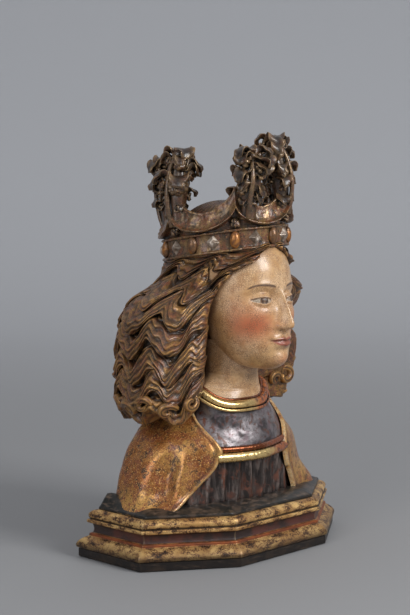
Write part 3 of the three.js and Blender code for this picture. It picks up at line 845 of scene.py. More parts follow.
# %% [markdown]
# The hair is parted in front and hangs from under the crown to the shoulders. A strand is named by its
# share of the way round the head, from the left side of the parting, round the back, to the right
# side. It starts under the crown band, lies on the skull, and moves out to the wide mass of hair,
# which has a squared oval for a plan and a different outline on each side of the head.

# %% Where a strand lies
PARTING_HALF = math.radians(3)
HAIR_MIDDLE = 26
HAIR_SQUARE = 3.6
HAIR_EDGE = math.radians(150)
HAIR_BACK = 72
BACK_END = 202
TEMPLE_BULGE = 1.1
HAIR_SIDES = {
    "left": dict(half_width=152, front=28, end=221, spread=[
        (190, 0.86), (225, 0.9), (262, 1.04), (291, 1.05), (315, 0.98), (335, 0.98), (362, 1.0),
        (385, 0.93), (404, 0.68), (440, 0.45)]),
    "right": dict(half_width=163, front=75, end=210, spread=[
        (190, 0.87), (205, 0.93), (225, 1), (330, 0.96), (352, 0.88), (364, 0.82), (377, 0.68),
        (391, 0.52), (409, 0.42), (440, 0.4)]),
}
# How far a strand beside the face has moved out from the crown, at each share of its fall
EDGE_FALL = [(0, 0), (0.045, 0.24), (0.091, 0.36), (0.136, 0.53), (0.182, 0.62), (0.227, 0.72),
             (0.273, 0.83), (0.318, 0.93), (0.364, 0.975), (0.5, 1.015), (0.64, 1.035), (0.77, 1.085),
             (0.91, 1.15), (1, 1.16)]
SKULL = dict(x=2, y=-16, z=388, half_width=71, half_depth=78, half_height=82, gap=3)


def plan_table(side):
    """The plan of one side of the hair, from the back to beside the face, by its share of the way"""
    turn = np.linspace(0, HAIR_EDGE, 240)
    aside, back = np.sin(turn), np.cos(turn)
    square = (np.abs(aside) ** HAIR_SQUARE + np.abs(back) ** HAIR_SQUARE) ** (-1 / HAIR_SQUARE)
    reach = np.where(back < 0, HAIR_SIDES[side]["front"], HAIR_BACK)
    way = 1 if side == "left" else -1
    xy = np.stack([way * HAIR_SIDES[side]["half_width"] * aside * square, reach * back * square], -1)
    length = np.r_[0, np.cumsum(np.linalg.norm(np.diff(xy, axis=0), axis=1))]
    return length / length[-1], xy


PLANS = {side: plan_table(side) for side in HAIR_SIDES}


def outside_skull(points):
    """Moves points that would lie inside the skull straight out to its surface"""
    k = SKULL
    reach = np.sqrt(np.clip(1 - ((points[..., 2] - k["z"]) / k["half_height"]) ** 2, 0.04, 1))
    x, y = points[..., 0] - k["x"], points[..., 1] - k["y"]
    size = np.hypot(x / (k["half_width"] * reach + k["gap"]), y / (k["half_depth"] * reach + k["gap"]))
    grow = 1 / np.clip(size, 0.2, 1)
    return np.stack([k["x"] + x * grow, k["y"] + y * grow, points[..., 2]], -1)


def strand(share, drop, lift):
    """share: left of the parting (0) round the back to its right (1); drop: crown (0) to ends (1)"""
    share, drop = np.broadcast_arrays(np.clip(share, 0, 1), drop)
    angle = mix(PARTING_HALF, TURN - PARTING_HALF, share) - CROWN_TURN
    top = crown_point(angle, 0, 2 - BAND_WIDTH / 2)
    from_back = np.abs(2 * share - 1)
    made = []
    for name, side in HAIR_SIDES.items():
        z = mix(top[..., 2], mix(BACK_END, side["end"], from_back**2), drop)
        table, xy = PLANS[name]
        low = np.stack([np.interp(from_back, table, xy[:, k]) for k in (0, 1)], -1)
        spread = mix(along(side["spread"], z), 1, 0.3 * from_back**2)
        bulge = TEMPLE_BULGE * bell(z, 374, 26) if name == "left" else 0
        x = low[..., 0] * spread
        y = HAIR_MIDDLE + np.where(low[..., 1] > 0, low[..., 1], low[..., 1] * (spread + bulge))
        at_back = 1 - (1 - np.clip(drop / 0.5, 0, 1)) ** 3
        away = mix(at_back, along(EDGE_FALL, drop), ramp(from_back, 0.55, 1))
        made.append(np.stack([mix(top[..., 0], x, away), mix(top[..., 1], y, away), z], -1))
    point = outside_skull(np.where((share < 0.5)[..., None], made[0], made[1]))
    out = unit(np.stack([point[..., 0], point[..., 1] - 15, 0 * point[..., 0]], -1))
    return point + out * np.asarray(lift)[..., None] if np.ndim(lift) else point + out * lift


print("a strand at the back ends at", strand(0.5, 1.0, 0).round(1))

# %% [markdown]
# The hair is carved as waves that lie in tiers, like swags hung one below the other round the head.
# Each tier is a thick roll that stands out over a deep dark cut, and the gouge has run a few fine
# grooves along it. The rows of our grid follow the waves themselves, so that the grooves stay
# crisp. In each tier the surface starts deep under the roll above, swells out and turns under. Near
# the crown the hair is combed smooth, and the tiers grow out of it.

# %% The tiers of waves
WAVE_LENGTH = 66
WAVE_DEPTH = 13
HAIR_ROUND = 620
HAIR_LENGTH = 228
FIRST_TIER = 0.15
TIER_FORM = np.array([
    (0.0, -7), (0.1, -4.6), (0.22, -1.6), (0.42, 1.6), (0.62, 3.8), (0.8, 4.8), (0.94, 4.2), (1.03, 1.6),
    (1.05, -2.5), (1.0, -7),
])
TIER_STEPS = 50
TIERS = 6.5
GROOVES = 6


def hair_wave(share, w):
    """1 where a wave hangs lowest and -1 at its crests"""
    from_edge = (1 - share) * HAIR_ROUND
    drift = 0.55 * np.sin(from_edge / 83 + 1.1 * w) + 0.4 * np.sin(w * 2.1 + from_edge / 37)
    return np.cos((from_edge - 48) / WAVE_LENGTH * TURN + drift)


def hair_point(share, row, rows):
    """A point of the carved hair, how hollow it is, and its count of grooves, for a grid row"""
    w = row / rows * TIERS + FIRST_TIER
    tier = np.floor(w)
    t = w - tier
    strong = ramp(w, 0.15, 1.2)
    form = np.linspace(0, 1, len(TIER_FORM))
    fall = mix(t, np.interp(t, form, TIER_FORM[:, 0]), strong)
    swell = np.interp(t, form, TIER_FORM[:, 1]) * mix(0.1, 1, strong)
    wave = hair_wave(share, tier + fall)
    from_edge = np.minimum(share, 1 - share) * HAIR_ROUND
    depth = WAVE_DEPTH * ramp(w, 0.0, 1.1) * (1 + 0.3 * np.sin(share * 53 + tier * 2.4))
    sweep_up = 28 * np.exp(-from_edge / 13) * ramp(w, 0.3, 2.8)
    sweep_up += 15 * np.exp(-from_edge / 60) * bell(w, 1.5, 1.2)
    drop = (tier + fall - FIRST_TIER) / TIERS + (depth * wave - sweep_up) / HAIR_LENGTH
    gouge = t + strong * (0.05 * np.sin(share * 190 + tier * 5) + 0.03 * np.sin(share * 77 + w))
    ridge = np.abs(np.sin(gouge * GROOVES * math.pi)) ** 0.75
    uneven = 0.6 + 0.4 * np.sin(np.floor(gouge * GROOVES) * 2.3 + tier + share * 40)
    cut = (1 - ridge) * (2.6 + 2.4 * uneven) * (1 - ramp(t, 0.88, 0.95))
    drilled = 6 * bell(t, 0.03, 0.12) * np.clip(-wave, 0, 1) ** 2 * strong
    swell = swell * (1.1 + 0.5 * wave * strong) + 2.2 * uneven * strong - cut - drilled
    tuck = 9 * ramp(row / rows, 0.965, 1) + 7 * np.exp(-from_edge / 4)
    swell += 4.5 * ramp(from_edge, 40, 6)
    point = strand(share, np.clip(drop, -0.02, 1.06), swell + 1.5 - tuck)
    # painted shade: grooves and the places under each roll are marked hollow, and the finish darkens them
    hollow = np.clip((1 - ridge) ** 0.8 + ramp(-swell, 1.0, 5), 0, 1)
    return point, hollow, gouge * GROOVES + tier


def hair():
    """One closed mass, open towards the face, with a plain wall behind the cheeks that is fully darkened
    as painted shade
    """
    rows = int(TIERS * TIER_STEPS)
    outer, inner = 288, 12
    columns = outer + inner

    def place(u, v):
        k = np.round(u * columns).astype(int) % columns
        row = np.round((1 - v) * rows)
        point, hollow, strands = hair_point(np.clip(k / outer, 0, 1), row, rows)
        across = np.clip((k - outer) / inner, 0, 1)
        wall = np.stack([mix(-46, 46, across), 14 + 0 * across, mix(218, 424, v)], -1)
        points = np.where((k <= outer)[:, None], point, wall)
        points[v == 0] = (0, 30, 222)
        points[v == 1] = (0, 30, 424)
        # the wall behind the cheeks is marked fully hollow, so its finish is a dark sheet of painted shade
        return points, {"hollow": np.where(k <= outer, hollow, 1.0), "strands": strands}

    return carve("hair", columns, rows, place)


hair_mass = hair()
print("hair", len(hair_mass.data.polygons), "faces in", TIERS, "tiers")

# %% [markdown]
# Along the lower edge the strands end in rolled curls. Each is a ridged tube that winds up on the
# hair's surface round a drilled middle. A seeded chance turns some of them the other way, as no two
# curls of a carver are alike.

# %% Curls
CURLS = 17


def curl_section(half, depth):
    def section(u, s):
        turn = u * TURN
        size = along([(0, 0.7), (0.2, 1.0), (0.6, 0.9), (1, 0.5)], s)
        open_side = np.cos(turn) > -0.2
        ridge = np.abs(np.sin(turn * 3)) ** 0.6
        height = depth * size * np.cos(turn) - 1.6 * size * (1 - ridge) * open_side
        return half * size * np.sin(turn), height, np.where(open_side, 1 - ridge, 1)
    return section


def curl(share, drop, radius, way, start, turns):
    middle = strand(share, drop, 1.5)
    right = unit(strand(share + 0.004, drop, 1.5) - middle)
    down = unit(strand(share, drop + 0.004, 1.5) - middle)
    out = unit(np.cross(down, right))
    s = np.linspace(0, 1, int(26 * turns))
    turn = start + way * TURN * turns * s
    r = radius * (1 - 0.7 * s**0.8)
    path = middle + right * (1.2 * r * np.cos(turn))[:, None] + down * (r * np.sin(turn))[:, None]
    path = path + out * (6 * np.sin(s * math.pi * 0.8) - 4)[:, None]
    return sweep("curl", path, out, curl_section(radius * 0.46, radius * 0.46), 20)


def hair_curls():
    chance = np.random.default_rng(5)
    made = []
    for k in range(CURLS):
        share = (k + 0.5 + chance.uniform(-0.18, 0.18)) / CURLS
        way = 1 if chance.random() < 0.5 else -1
        drop = 0.96 + chance.uniform(-0.05, 0.015)
        radius = chance.uniform(11, 14.5)
        start = chance.uniform(0, TURN)
        made.append(curl(share, drop, radius, way, start, chance.uniform(0.75, 1.15)))
    return join(made, "hair_curls")


curls_piece = hair_curls()
print("curls", len(curls_piece.data.polygons), "faces")

# %% [markdown]
# Inside the open crown the top of the head is seen. It is a ball's upper part with combed grooves that
# run together at the top.

# %% Combed hair inside the crown
DOME_MIDDLE = (0, 12, 427)
DOME_HALF = (79, 81, 77)


def hair_dome():
    columns, rows = 288, 50

    def place(u, v):
        angle, rise = u * TURN, mix(-0.15, 0.5, v) * math.pi
        comb = np.abs(np.sin(angle * 24 + 2.5 * np.sin(rise * 3) + np.sin(angle * 5))) ** 0.6
        cut = 2.6 * (1 - comb) * ramp(0.5 - v, -0.5, 0.1)
        r = np.cos(rise)
        way = np.stack([r * np.cos(angle), r * np.sin(angle), np.sin(rise)], -1)
        points = np.array(DOME_MIDDLE) + (np.array(DOME_HALF) - cut[:, None]) * way
        points[v == 0] = (0, 12, 400)
        return points, {"hollow": 1 - comb, "strands": angle * 16}

    return carve("hair_dome", columns, rows, place)


dome_piece = hair_dome()
print("combed hair", len(dome_piece.data.polygons), "faces")

# %% [markdown]
# ## The crown
#
# The crown is carved in the same block: a band with fillets and stones, and above it six arcs, each a
# hollowed crescent with a sharp outer rim, that meet in points. A bouquet of curled leaves grows
# from each meeting; one of them is broken off short.

# %% Crown ring
JUNCTIONS = 6
LOST_FINIAL = 2
ARC_DEPTH = 35.7
HOLLOW_WIDTH = 25
WALL = 13
RING_COLUMNS = 420
RING_FINER = 3


def crown_section(angle):
    """The section's corners at an angle, as (out, height) pairs from the band's foot upwards"""
    half = BAND_WIDTH / 2
    from_arc = np.abs((angle / TURN * JUNCTIONS) % 1 - 0.5) * 2
    climb = ARC_DEPTH * (1 - np.sqrt(1 - (0.97 * from_arc) ** 2))
    rim = half + 2 + climb
    lost = bell(angle / TURN - LOST_FINIAL / JUNCTIONS, 0, 0.03)
    hollow = HOLLOW_WIDTH * (1 + 0.2 * from_arc) * (1 - 0.5 * lost)
    flare = 4 * from_arc
    deep = -2.5 * ramp(from_arc, 0.3, 0.8)
    low_fillet = [(0, -half - 0.6), (2.6, -half), (3.6, -half + 1.6), (2.8, -half + 3.4)]
    flat_band = [(0.4, -half + 4.2), (0, -half + 6), (0, half - 6)]
    high_fillet = [(0.4, half - 4.6), (2.8, half - 3.8), (3.6, half - 2.2), (2.8, half - 0.8)]
    arc_wall = [(deep, half), (deep, mix(half, rim, 0.5)), (deep * 0.5 + 1.5, rim - 1.5)]
    sharp_rim = [(7 + flare, rim - 0.8), (8.6 + flare, rim + 0.2), (8.4 + flare, rim + 1.5)]
    crescent = [
        (6.6 + flare, rim + 2.2), (3.4 + flare, rim + hollow * 0.14), (0 + flare, rim + hollow * 0.32),
        (-2.2 + flare, rim + hollow * 0.55), (-3.2 + flare, rim + hollow * 0.8),
        (-3.4 + flare, rim + hollow), (-5.4 + flare, rim + hollow + 0.8),
        (-7.2 + flare, rim + hollow * 0.9),
    ]
    inner_wall = [(-10, rim), (-WALL, half)]
    band = [(-WALL, -half)] + low_fillet + flat_band + high_fillet
    corners = band + arc_wall + sharp_rim + crescent + inner_wall
    return np.array([(out + 0 * angle, z + 0 * angle) for out, z in corners])


def crown_ring():
    count = len(crown_section(np.zeros(1)))
    rows = count * RING_FINER

    def place(u, v):
        angle = (u % 1) * TURN
        corners = crown_section(angle)
        at = (np.round(v * rows).astype(int) % rows) / RING_FINER
        low = np.floor(at).astype(int)
        t = at - low
        pick = np.arange(len(u))
        a = corners[low % count, :, pick]
        b = corners[(low + 1) % count, :, pick]
        out, z = (a + (b - a) * t[:, None]).T
        points = crown_point(angle, out, z)
        uneven = 1.1 * ripple(points, size=20, seed=13)
        uneven += 0.35 * ripple(points, size=6, seed=14, octaves=2)
        points = points + unit(points - CROWN) * uneven[:, None]
        # painted shade: the fillets and the inside of the ring are marked hollow, and the finish darkens
        # them
        fillet = bell(z, -6.8, 1.6) + bell(z, 6.2, 1.4)
        inner = ramp(-out, 4, 9)
        return points, {"hollow": np.clip(fillet * 0.8 + inner, 0, 1)}

    return carve("crown_ring", RING_COLUMNS, rows, place)


ring_piece = crown_ring()
print("crown ring", len(ring_piece.data.polygons), "faces")

# %% [markdown]
# The stones are carved lozenges and almonds in turn. Each is a small cone or ball primitive, turned
# to face outwards, with its edges softened by a bevel.

# %% Stones
STONES = 18
LOZENGE = (11, 13, 7.5)
LOZENGE_STAND = 2.4
LOZENGE_TABLE = 0.34
ALMOND = (7.5, 13, 7)
ALMOND_STAND = 0.5
STONE_BEVEL = 0.8


def facing(angle):
    """The directions outwards and sideways at an angle of the crown"""
    turn = angle + CROWN_TURN
    return np.array((math.sin(turn), -math.cos(turn), 0)), np.array((math.cos(turn), math.sin(turn), 0))


def stone(number):
    angle = number / STONES * TURN
    out, _ = facing(angle)
    lozenge = number % 2 == 0
    bpy.ops.object.select_all(action="DESELECT")
    if lozenge:
        bpy.ops.mesh.primitive_cone_add(vertices=4, radius1=1, radius2=LOZENGE_TABLE, depth=1)
        size, stand = LOZENGE, LOZENGE_STAND
    else:
        bpy.ops.mesh.primitive_uv_sphere_add(segments=24, ring_count=14, radius=1)
        size, stand = ALMOND, ALMOND_STAND
    piece = bpy.context.object
    piece.scale = [s * MM for s in size]
    piece.rotation_euler = (math.pi / 2, 0, angle + CROWN_TURN)
    piece.location = (crown_point(np.array(angle), 0, 0) + out * stand) * MM
    bpy.ops.object.transform_apply()
    bevel = piece.modifiers.new("soft edges", "BEVEL")
    bevel.width = STONE_BEVEL * MM
    bevel.segments = 2
    bpy.ops.object.modifier_apply(modifier=bevel.name)
    layer = piece.data.attributes.new("kind", "FLOAT", "POINT")
    layer.data.foreach_set("value", np.full(len(piece.data.vertices), 0.0 if lozenge else 1.0))
    return piece


stones_piece = join([stone(number) for number in range(STONES)], "band_stones")
print("stones", len(stones_piece.data.polygons), "faces")

# %% [markdown]
# A finial is a bouquet of fleshy leaves round a stem. Where a leaf ends it is rolled up into a knobbly
# ball, drilled from the side. The ball is round lobes pressed together: each point of a small round
# grid takes the height of the lobe that stands out furthest there, less the drilled hole.

# %% Rolled tips of the leaves
TIP_COLUMNS = 32
TIP_ROWS = 20
TIP_LOBES = [(0, -0.6, 0.72), (0.9, -0.3, 0.62), (-0.9, -0.3, 0.62), (0.55, 0.5, 0.6), (-0.55, 0.5, 0.6),
             (1.7, 0.4, 0.6), (-1.7, 0.4, 0.6), (0, 1.3, 0.7), (2.6, -0.2, 0.7), (-2.6, -0.2, 0.7)]


def rolled_tip(centre, out, radius, chance):
    """Round lobes pressed together into a ball, with deep seams and one drilled hole. TIP_LOBES holds
    each lobe's turn aside, its rise and its width in radians, and chance makes them uneven."""
    up = unit(np.array((0, 0, 1.0)) + 0.5 * chance.normal(size=3))
    up = unit(up - out * (up @ out))
    side = np.cross(up, out)
    squash = chance.uniform(0.75, 1.15, 3)

    def way(aside, rise):
        return math.cos(rise) * (math.cos(aside) * out + math.sin(aside) * side) + math.sin(rise) * up

    lobes = []
    for aside, rise, width in TIP_LOBES:
        axis = way(aside + chance.uniform(-0.25, 0.25), rise + chance.uniform(-0.2, 0.2))
        lobes.append((axis, width * chance.uniform(0.65, 1.3), chance.uniform(0.7, 1.25)))
    hole = way(chance.choice((-1, 1)) * chance.uniform(0.35, 0.7), chance.uniform(-0.3, 0.1))
    seed = int(chance.integers(1000))

    def place(u, v):
        turn, rise = u * TURN, (v - 0.5) * math.pi
        flat = np.cos(rise)[:, None]
        d = side * flat * np.cos(turn)[:, None] + out * flat * np.sin(turn)[:, None]
        d = d + up * np.sin(rise)[:, None]
        lobe = np.zeros(u.shape)
        for axis, width, size in lobes:
            apart = np.arccos(np.clip(d @ axis, -1, 1)) / width
            lobe = np.maximum(lobe, size * np.sqrt(np.clip(1 - apart**2, 0, 1)))
        drilled = bell(np.arccos(np.clip(d @ hole, -1, 1)), 0, 0.26)
        wrinkle = 0.4 - np.abs(ripple(d * radius, size=10, seed=seed, octaves=2))
        r = radius * (0.56 + 0.4 * lobe - 0.4 * drilled) + 4.5 * wrinkle
        # painted shade: seams between the lobes and the drilled hole are marked hollow and darkened in the
        # finish
        hollow = np.clip(0.8 - lobe - 1.5 * wrinkle + drilled, 0, 1)
        return centre + d * squash * r[:, None], {"hollow": hollow}

    return carve("tip", TIP_COLUMNS, TIP_ROWS, place)


print("a rolled tip has", len(TIP_LOBES), "lobes")

# %% [markdown]
# A leaf is a blade like a gutter, with lobed edges that stand up and ruffle. It climbs out from the
# stem, turns over and droops over its rolled tip.


# %% A leaf of the finials
def blade_section(half, depth, phase):
    """A leaf like a gutter: its lobed edges stand up, and ruffle more the further out they are"""
    def section(u, s):
        turn = u * TURN
        size = along([(0, 0.45), (0.3, 0.85), (0.6, 1.0), (0.85, 0.85), (1, 0.4)], s)
        q = np.sin(turn)
        lobed = 0.68 + 0.36 * np.abs(np.sin(s * 9.5 + phase + 0.6 * q)) ** 0.6
        ruffle = 0.28 * np.sin(s * 19 + 2 * phase + q * 2.5) * np.abs(q) ** 1.5
        height = depth * np.cos(turn) + half * (ruffle + 0.3 * q * q - 0.15) * size
        hollow = np.where(np.cos(turn) > 0, 1 - np.abs(q) ** 1.4, 0.5)
        return half * size * lobed * q, height, hollow
    return section


def leaf(at, way, height, reach, radius, chance):
    """A leaf in the upright plane at the angle way: a blade that droops over a knobbly ball. at gives a
    point of the finial, and reach says how far the ball is from the stem."""
    c, d = math.cos(way), math.sin(way)
    r = np.array([4, reach * 0.35, reach * 0.75, reach, reach, reach])
    r = r + radius * np.array([0, 0, 0, 0.5, 1.05, 1.1])
    z = height + radius * np.array([-1.9, -0.5, 0.45, 0.85, 0.45, -0.2])
    path = smooth_path([at(c * a, d * a, b) for a, b in zip(r, z)], 24)
    across = at(-d, c, height) - at(0, 0, height)
    outward = np.cross(across, unit(np.gradient(path, axis=0)))
    out = unit(at(c, d, height) - at(0, 0, height))
    half = radius * chance.uniform(0.75, 1.05)
    ball = radius * chance.uniform(0.62, 0.95)
    middle = at(c * reach, d * reach, height - 0.1 * radius)
    section = blade_section(half, radius * 0.19, chance.uniform(0, TURN))
    return [sweep("blade", path, outward, section, columns=26), rolled_tip(middle, out, ball, chance)]


print("a leaf's edge stands out", blade_section(10, 2, 0)(np.array(0.25), 0.6)[0].round(1), "mm of 10")

# %% [markdown]
# The leaves sit in tiers round the stem, the widest in the upper half, with three at the top. A
# strap-like vein runs up the outer face. One finial is broken off and only its stump is left. Small
# rolled tips also fill the corners between the crown's arcs.

# %% Finials
FINIAL_TOP = [145, 141, 0, 141, 145, 133]
FINIAL_ASIDE = [0, 0, 0, 0, 0, 17]
FINIAL_LEAN = [(-4, -14), (0, 0), (0, 0), (-4, 0), (-4, -12), (9, 0)]
TALLEST = 145
STALK_FOOT = 30
# Each tier's height, how far its leaves reach, how many there are, and the radius of their balls
LEAF_TIERS = [(54, 7, 3, 9.5), (74, 13, 4, 12.5), (96, 16, 4, 14), (117, 13, 4, 14)]
TOP_REACH = 9
TOP_LEAVES = [(0.3, 14), (2.5, 15), (4.4, 13)]


def finial(index):
    angle = index / JUNCTIONS * TURN
    base = crown_point(np.array(angle), 1, 0)
    lean_side, lean_out = FINIAL_LEAN[index]
    tip = FINIAL_TOP[index]
    out, side = facing(angle)

    def at(sideways, outwards, z):
        lean = max(z - STALK_FOOT, 0) / 100
        sideways += FINIAL_ASIDE[index] + lean_side * lean
        return base + side * sideways + out * (outwards + lean_out * lean) + (0, 0, z)

    def stem_section(u, s):
        turn = u * TURN
        groove = np.abs(np.sin(turn * 3 + 2 * s)) ** 0.5
        girth = along([(0, 12), (0.25, 11), (0.5, 14), (0.8, 12), (1, 6)], s)
        depth = 1.6 * groove
        return (girth + depth) * np.sin(turn), (girth * 0.9 + depth) * np.cos(turn), 1 - groove

    if index == LOST_FINIAL:
        stump = smooth_path([at(0, -6, STALK_FOOT), at(0, -4, 48), at(1, -2, 63)], 12)
        return [sweep("stump", stump, out, stem_section, columns=36)]
    stem = smooth_path([at(0, -5, STALK_FOOT), at(0, 0, 60), at(0, 0, 95), at(0, 0, tip - 18)], 50)
    vein = smooth_path([at(0, 7, STALK_FOOT), at(0, 15, 52), at(1, 20, 80), at(0, 17, tip - 36),
                        at(0, 8, tip - 14)], 50)
    made = [
        sweep("stem", stem, out, stem_section, columns=36),
        sweep("vein", vein, out, round_section(3.6, 3.4, knobble=0.05), columns=14),
    ]
    chance = np.random.default_rng(60 + index)
    for height, reach, count, radius in LEAF_TIERS:
        height *= tip / TALLEST
        for k in range(count):
            way = math.pi / 2 + (k + 0.5 + chance.uniform(-0.14, 0.14)) / count * TURN
            made += leaf(at, way, height + chance.uniform(-8, 8), reach * chance.uniform(0.8, 1.1),
                         radius * chance.uniform(0.72, 1.15), chance)
    for way, radius in TOP_LEAVES:
        made += leaf(at, way, tip - 1.2 * radius, TOP_REACH, radius, chance)
    return made


def corner_leaf(index):
    """A small rolled leaf above the band, where two arcs meet"""
    angle = index / JUNCTIONS * TURN
    out, _ = facing(angle)
    centre = crown_point(np.array(angle), 2.0, BAND_WIDTH / 2 + 7)
    return rolled_tip(centre, out, 7.5, np.random.default_rng(90 + index))


parts = [part for index in range(JUNCTIONS) for part in finial(index)]
parts += [corner_leaf(index) for index in range(JUNCTIONS)]
tips = [part for part in parts if part.name.startswith("tip")]
leaves = [part for part in parts if not part.name.startswith("tip")]
finial_tips = join(tips, "rolled_tips")
finial_leaves = join(leaves, "finial_leaves")
print("leaves", len(finial_leaves.data.polygons), "faces, tips", len(finial_tips.data.polygons), "faces")

# %% [markdown]
# ## Finishes
#
# Old gilding is not one colour. Over the wood lies red-brown bole, over it the leaf; the leaf is
# thin on high places, dirt is thick in the grooves, and edges are rubbed bright. Each finish mixes
# those layers by noise, by the hollow value kept with each point, and by how closed in a place is.
# The grooves and closed-in places also take painted shade, and the sharp edges a painted highlight.


# %% Node helper
MIX_FACTOR, MIX_FIRST, MIX_SECOND, MIX_RESULT = 0, 6, 7, 2


class Finish:
    """A material whose nodes are added one line at a time"""

    def __init__(self, name):
        self.material = bpy.data.materials.new(name)
        self.material.use_nodes = True
        self.tree = self.material.node_tree
        self.shader = self.tree.nodes["Principled BSDF"]
        self.place = self.tree.nodes.new("ShaderNodeTexCoord").outputs["Object"]

    def add(self, kind, inputs=(), **settings):
        node = self.tree.nodes.new("ShaderNode" + kind)
        for key, value in settings.items():
            setattr(node, key, value)
        for key, value in dict(inputs).items():
            self.put(node.inputs[key], value)
        return node

    def put(self, socket, value):
        if isinstance(value, bpy.types.NodeSocket):
            self.tree.links.new(value, socket)
        elif isinstance(value, (tuple, list)) and len(value) == 3 and socket.type == "RGBA":
            socket.default_value = (*value, 1)
        else:
            socket.default_value = value

    def noise(self, size_mm, detail=4, rough=0.55, warp=0.0):
        node = self.add("TexNoise", {"Vector": self.place, "Scale": 1000 / size_mm, "Detail": detail,
                                     "Roughness": rough, "Distortion": warp})
        return node.outputs["Fac"]

    def streaks(self, size_mm, length, detail=4):
        """Noise drawn out upright, as on rubbed folds, or level where length is below 1"""
        scaled = self.add("VectorMath", {0: self.place, 1: (1, 1, 1 / length)}, operation="MULTIPLY")
        node = self.add("TexNoise", {"Vector": scaled.outputs["Vector"], "Scale": 1000 / size_mm,
                                     "Detail": detail, "Roughness": 0.6})
        return node.outputs["Fac"]

    def kept(self, name):
        return self.add("Attribute", attribute_name=name).outputs["Fac"]

    def step(self, value, low, high):
        node = self.add("MapRange", {"Value": value, "From Min": low, "From Max": high},
                        interpolation_type="SMOOTHSTEP")
        return node.outputs["Result"]

    def math(self, operation, a, b=0.0, clamp=False):
        node = self.add("Math", {0: a, 1: b}, operation=operation, use_clamp=clamp)
        return node.outputs[0]

    def times(self, a, b, clamp=False):
        return self.math("MULTIPLY", a, b, clamp)

    def plus(self, a, b):
        return self.math("ADD", a, b)

    def most(self, a, b):
        return self.math("MAXIMUM", a, b)

    def rest(self, a):
        """What is left of 1"""
        return self.math("SUBTRACT", 1.0, a)

    def millimetres(self, axis):
        """The place along one axis, in mm"""
        return self.times(self.add("SeparateXYZ", {0: self.place}).outputs[axis], 1 / MM)

    def between(self, value, start, end):
        """1 between two soft steps, each given by the two values where it starts and ends"""
        return self.times(self.step(value, *start), self.rest(self.step(value, *end)))

    def blend(self, factor, a, b):
        node = self.add("Mix", data_type="RGBA")
        self.put(node.inputs[MIX_FACTOR], factor)
        self.put(node.inputs[MIX_FIRST], a)
        self.put(node.inputs[MIX_SECOND], b)
        return node.outputs[MIX_RESULT]

    def shade_and_dirt_in_hollows(self, distance_mm, low, high):
        """0 in the open and 1 in the hollows, where shade falls and dirt lies; it darkens them as painted
        shade and dirt
        """
        node = self.add("AmbientOcclusion", {"Distance": distance_mm * MM}, samples=6)
        return self.rest(self.step(node.outputs["AO"], low, high))

    def edges(self):
        """1 along sharp edges, brightened both as rubbed leaf and as a painted highlight"""
        return self.step(self.add("NewGeometry").outputs["Pointiness"], 0.51, 0.6)

    def finish(self, color, metal, rough, bumps=()):
        self.put(self.shader.inputs["Base Color"], color)
        self.put(self.shader.inputs["Metallic"], metal)
        self.put(self.shader.inputs["Roughness"], rough)
        normal = None
        for height, depth_mm in bumps:
            bump = self.add("Bump", {"Height": height, "Strength": 1.0, "Distance": depth_mm * MM})
            if normal:
                self.put(bump.inputs["Normal"], normal)
            normal = bump.outputs["Normal"]
        if normal:
            self.put(self.shader.inputs["Normal"], normal)
        return self.material


print("a finish is built from", len([name for name in vars(Finish) if name[0] != "_"]), "kinds of step")

# %% [markdown]
# One recipe, with other colours and amounts, gives the hair, the crown, its leaves and the cloak: leaf
# over bole over dark dirt, and the same dark colour as painted shade in the hollows. Small bright flecks
# are bits of sound leaf, and small dark pits are lost ones. The cloak also has a pale rubbed hem along
# its edge, and the hair a fine line in every groove, darkened as painted shade.

# %% Worn gilding
BRIGHT = 1.5
HEM_LEAF = (0.74, 0.55, 0.3)


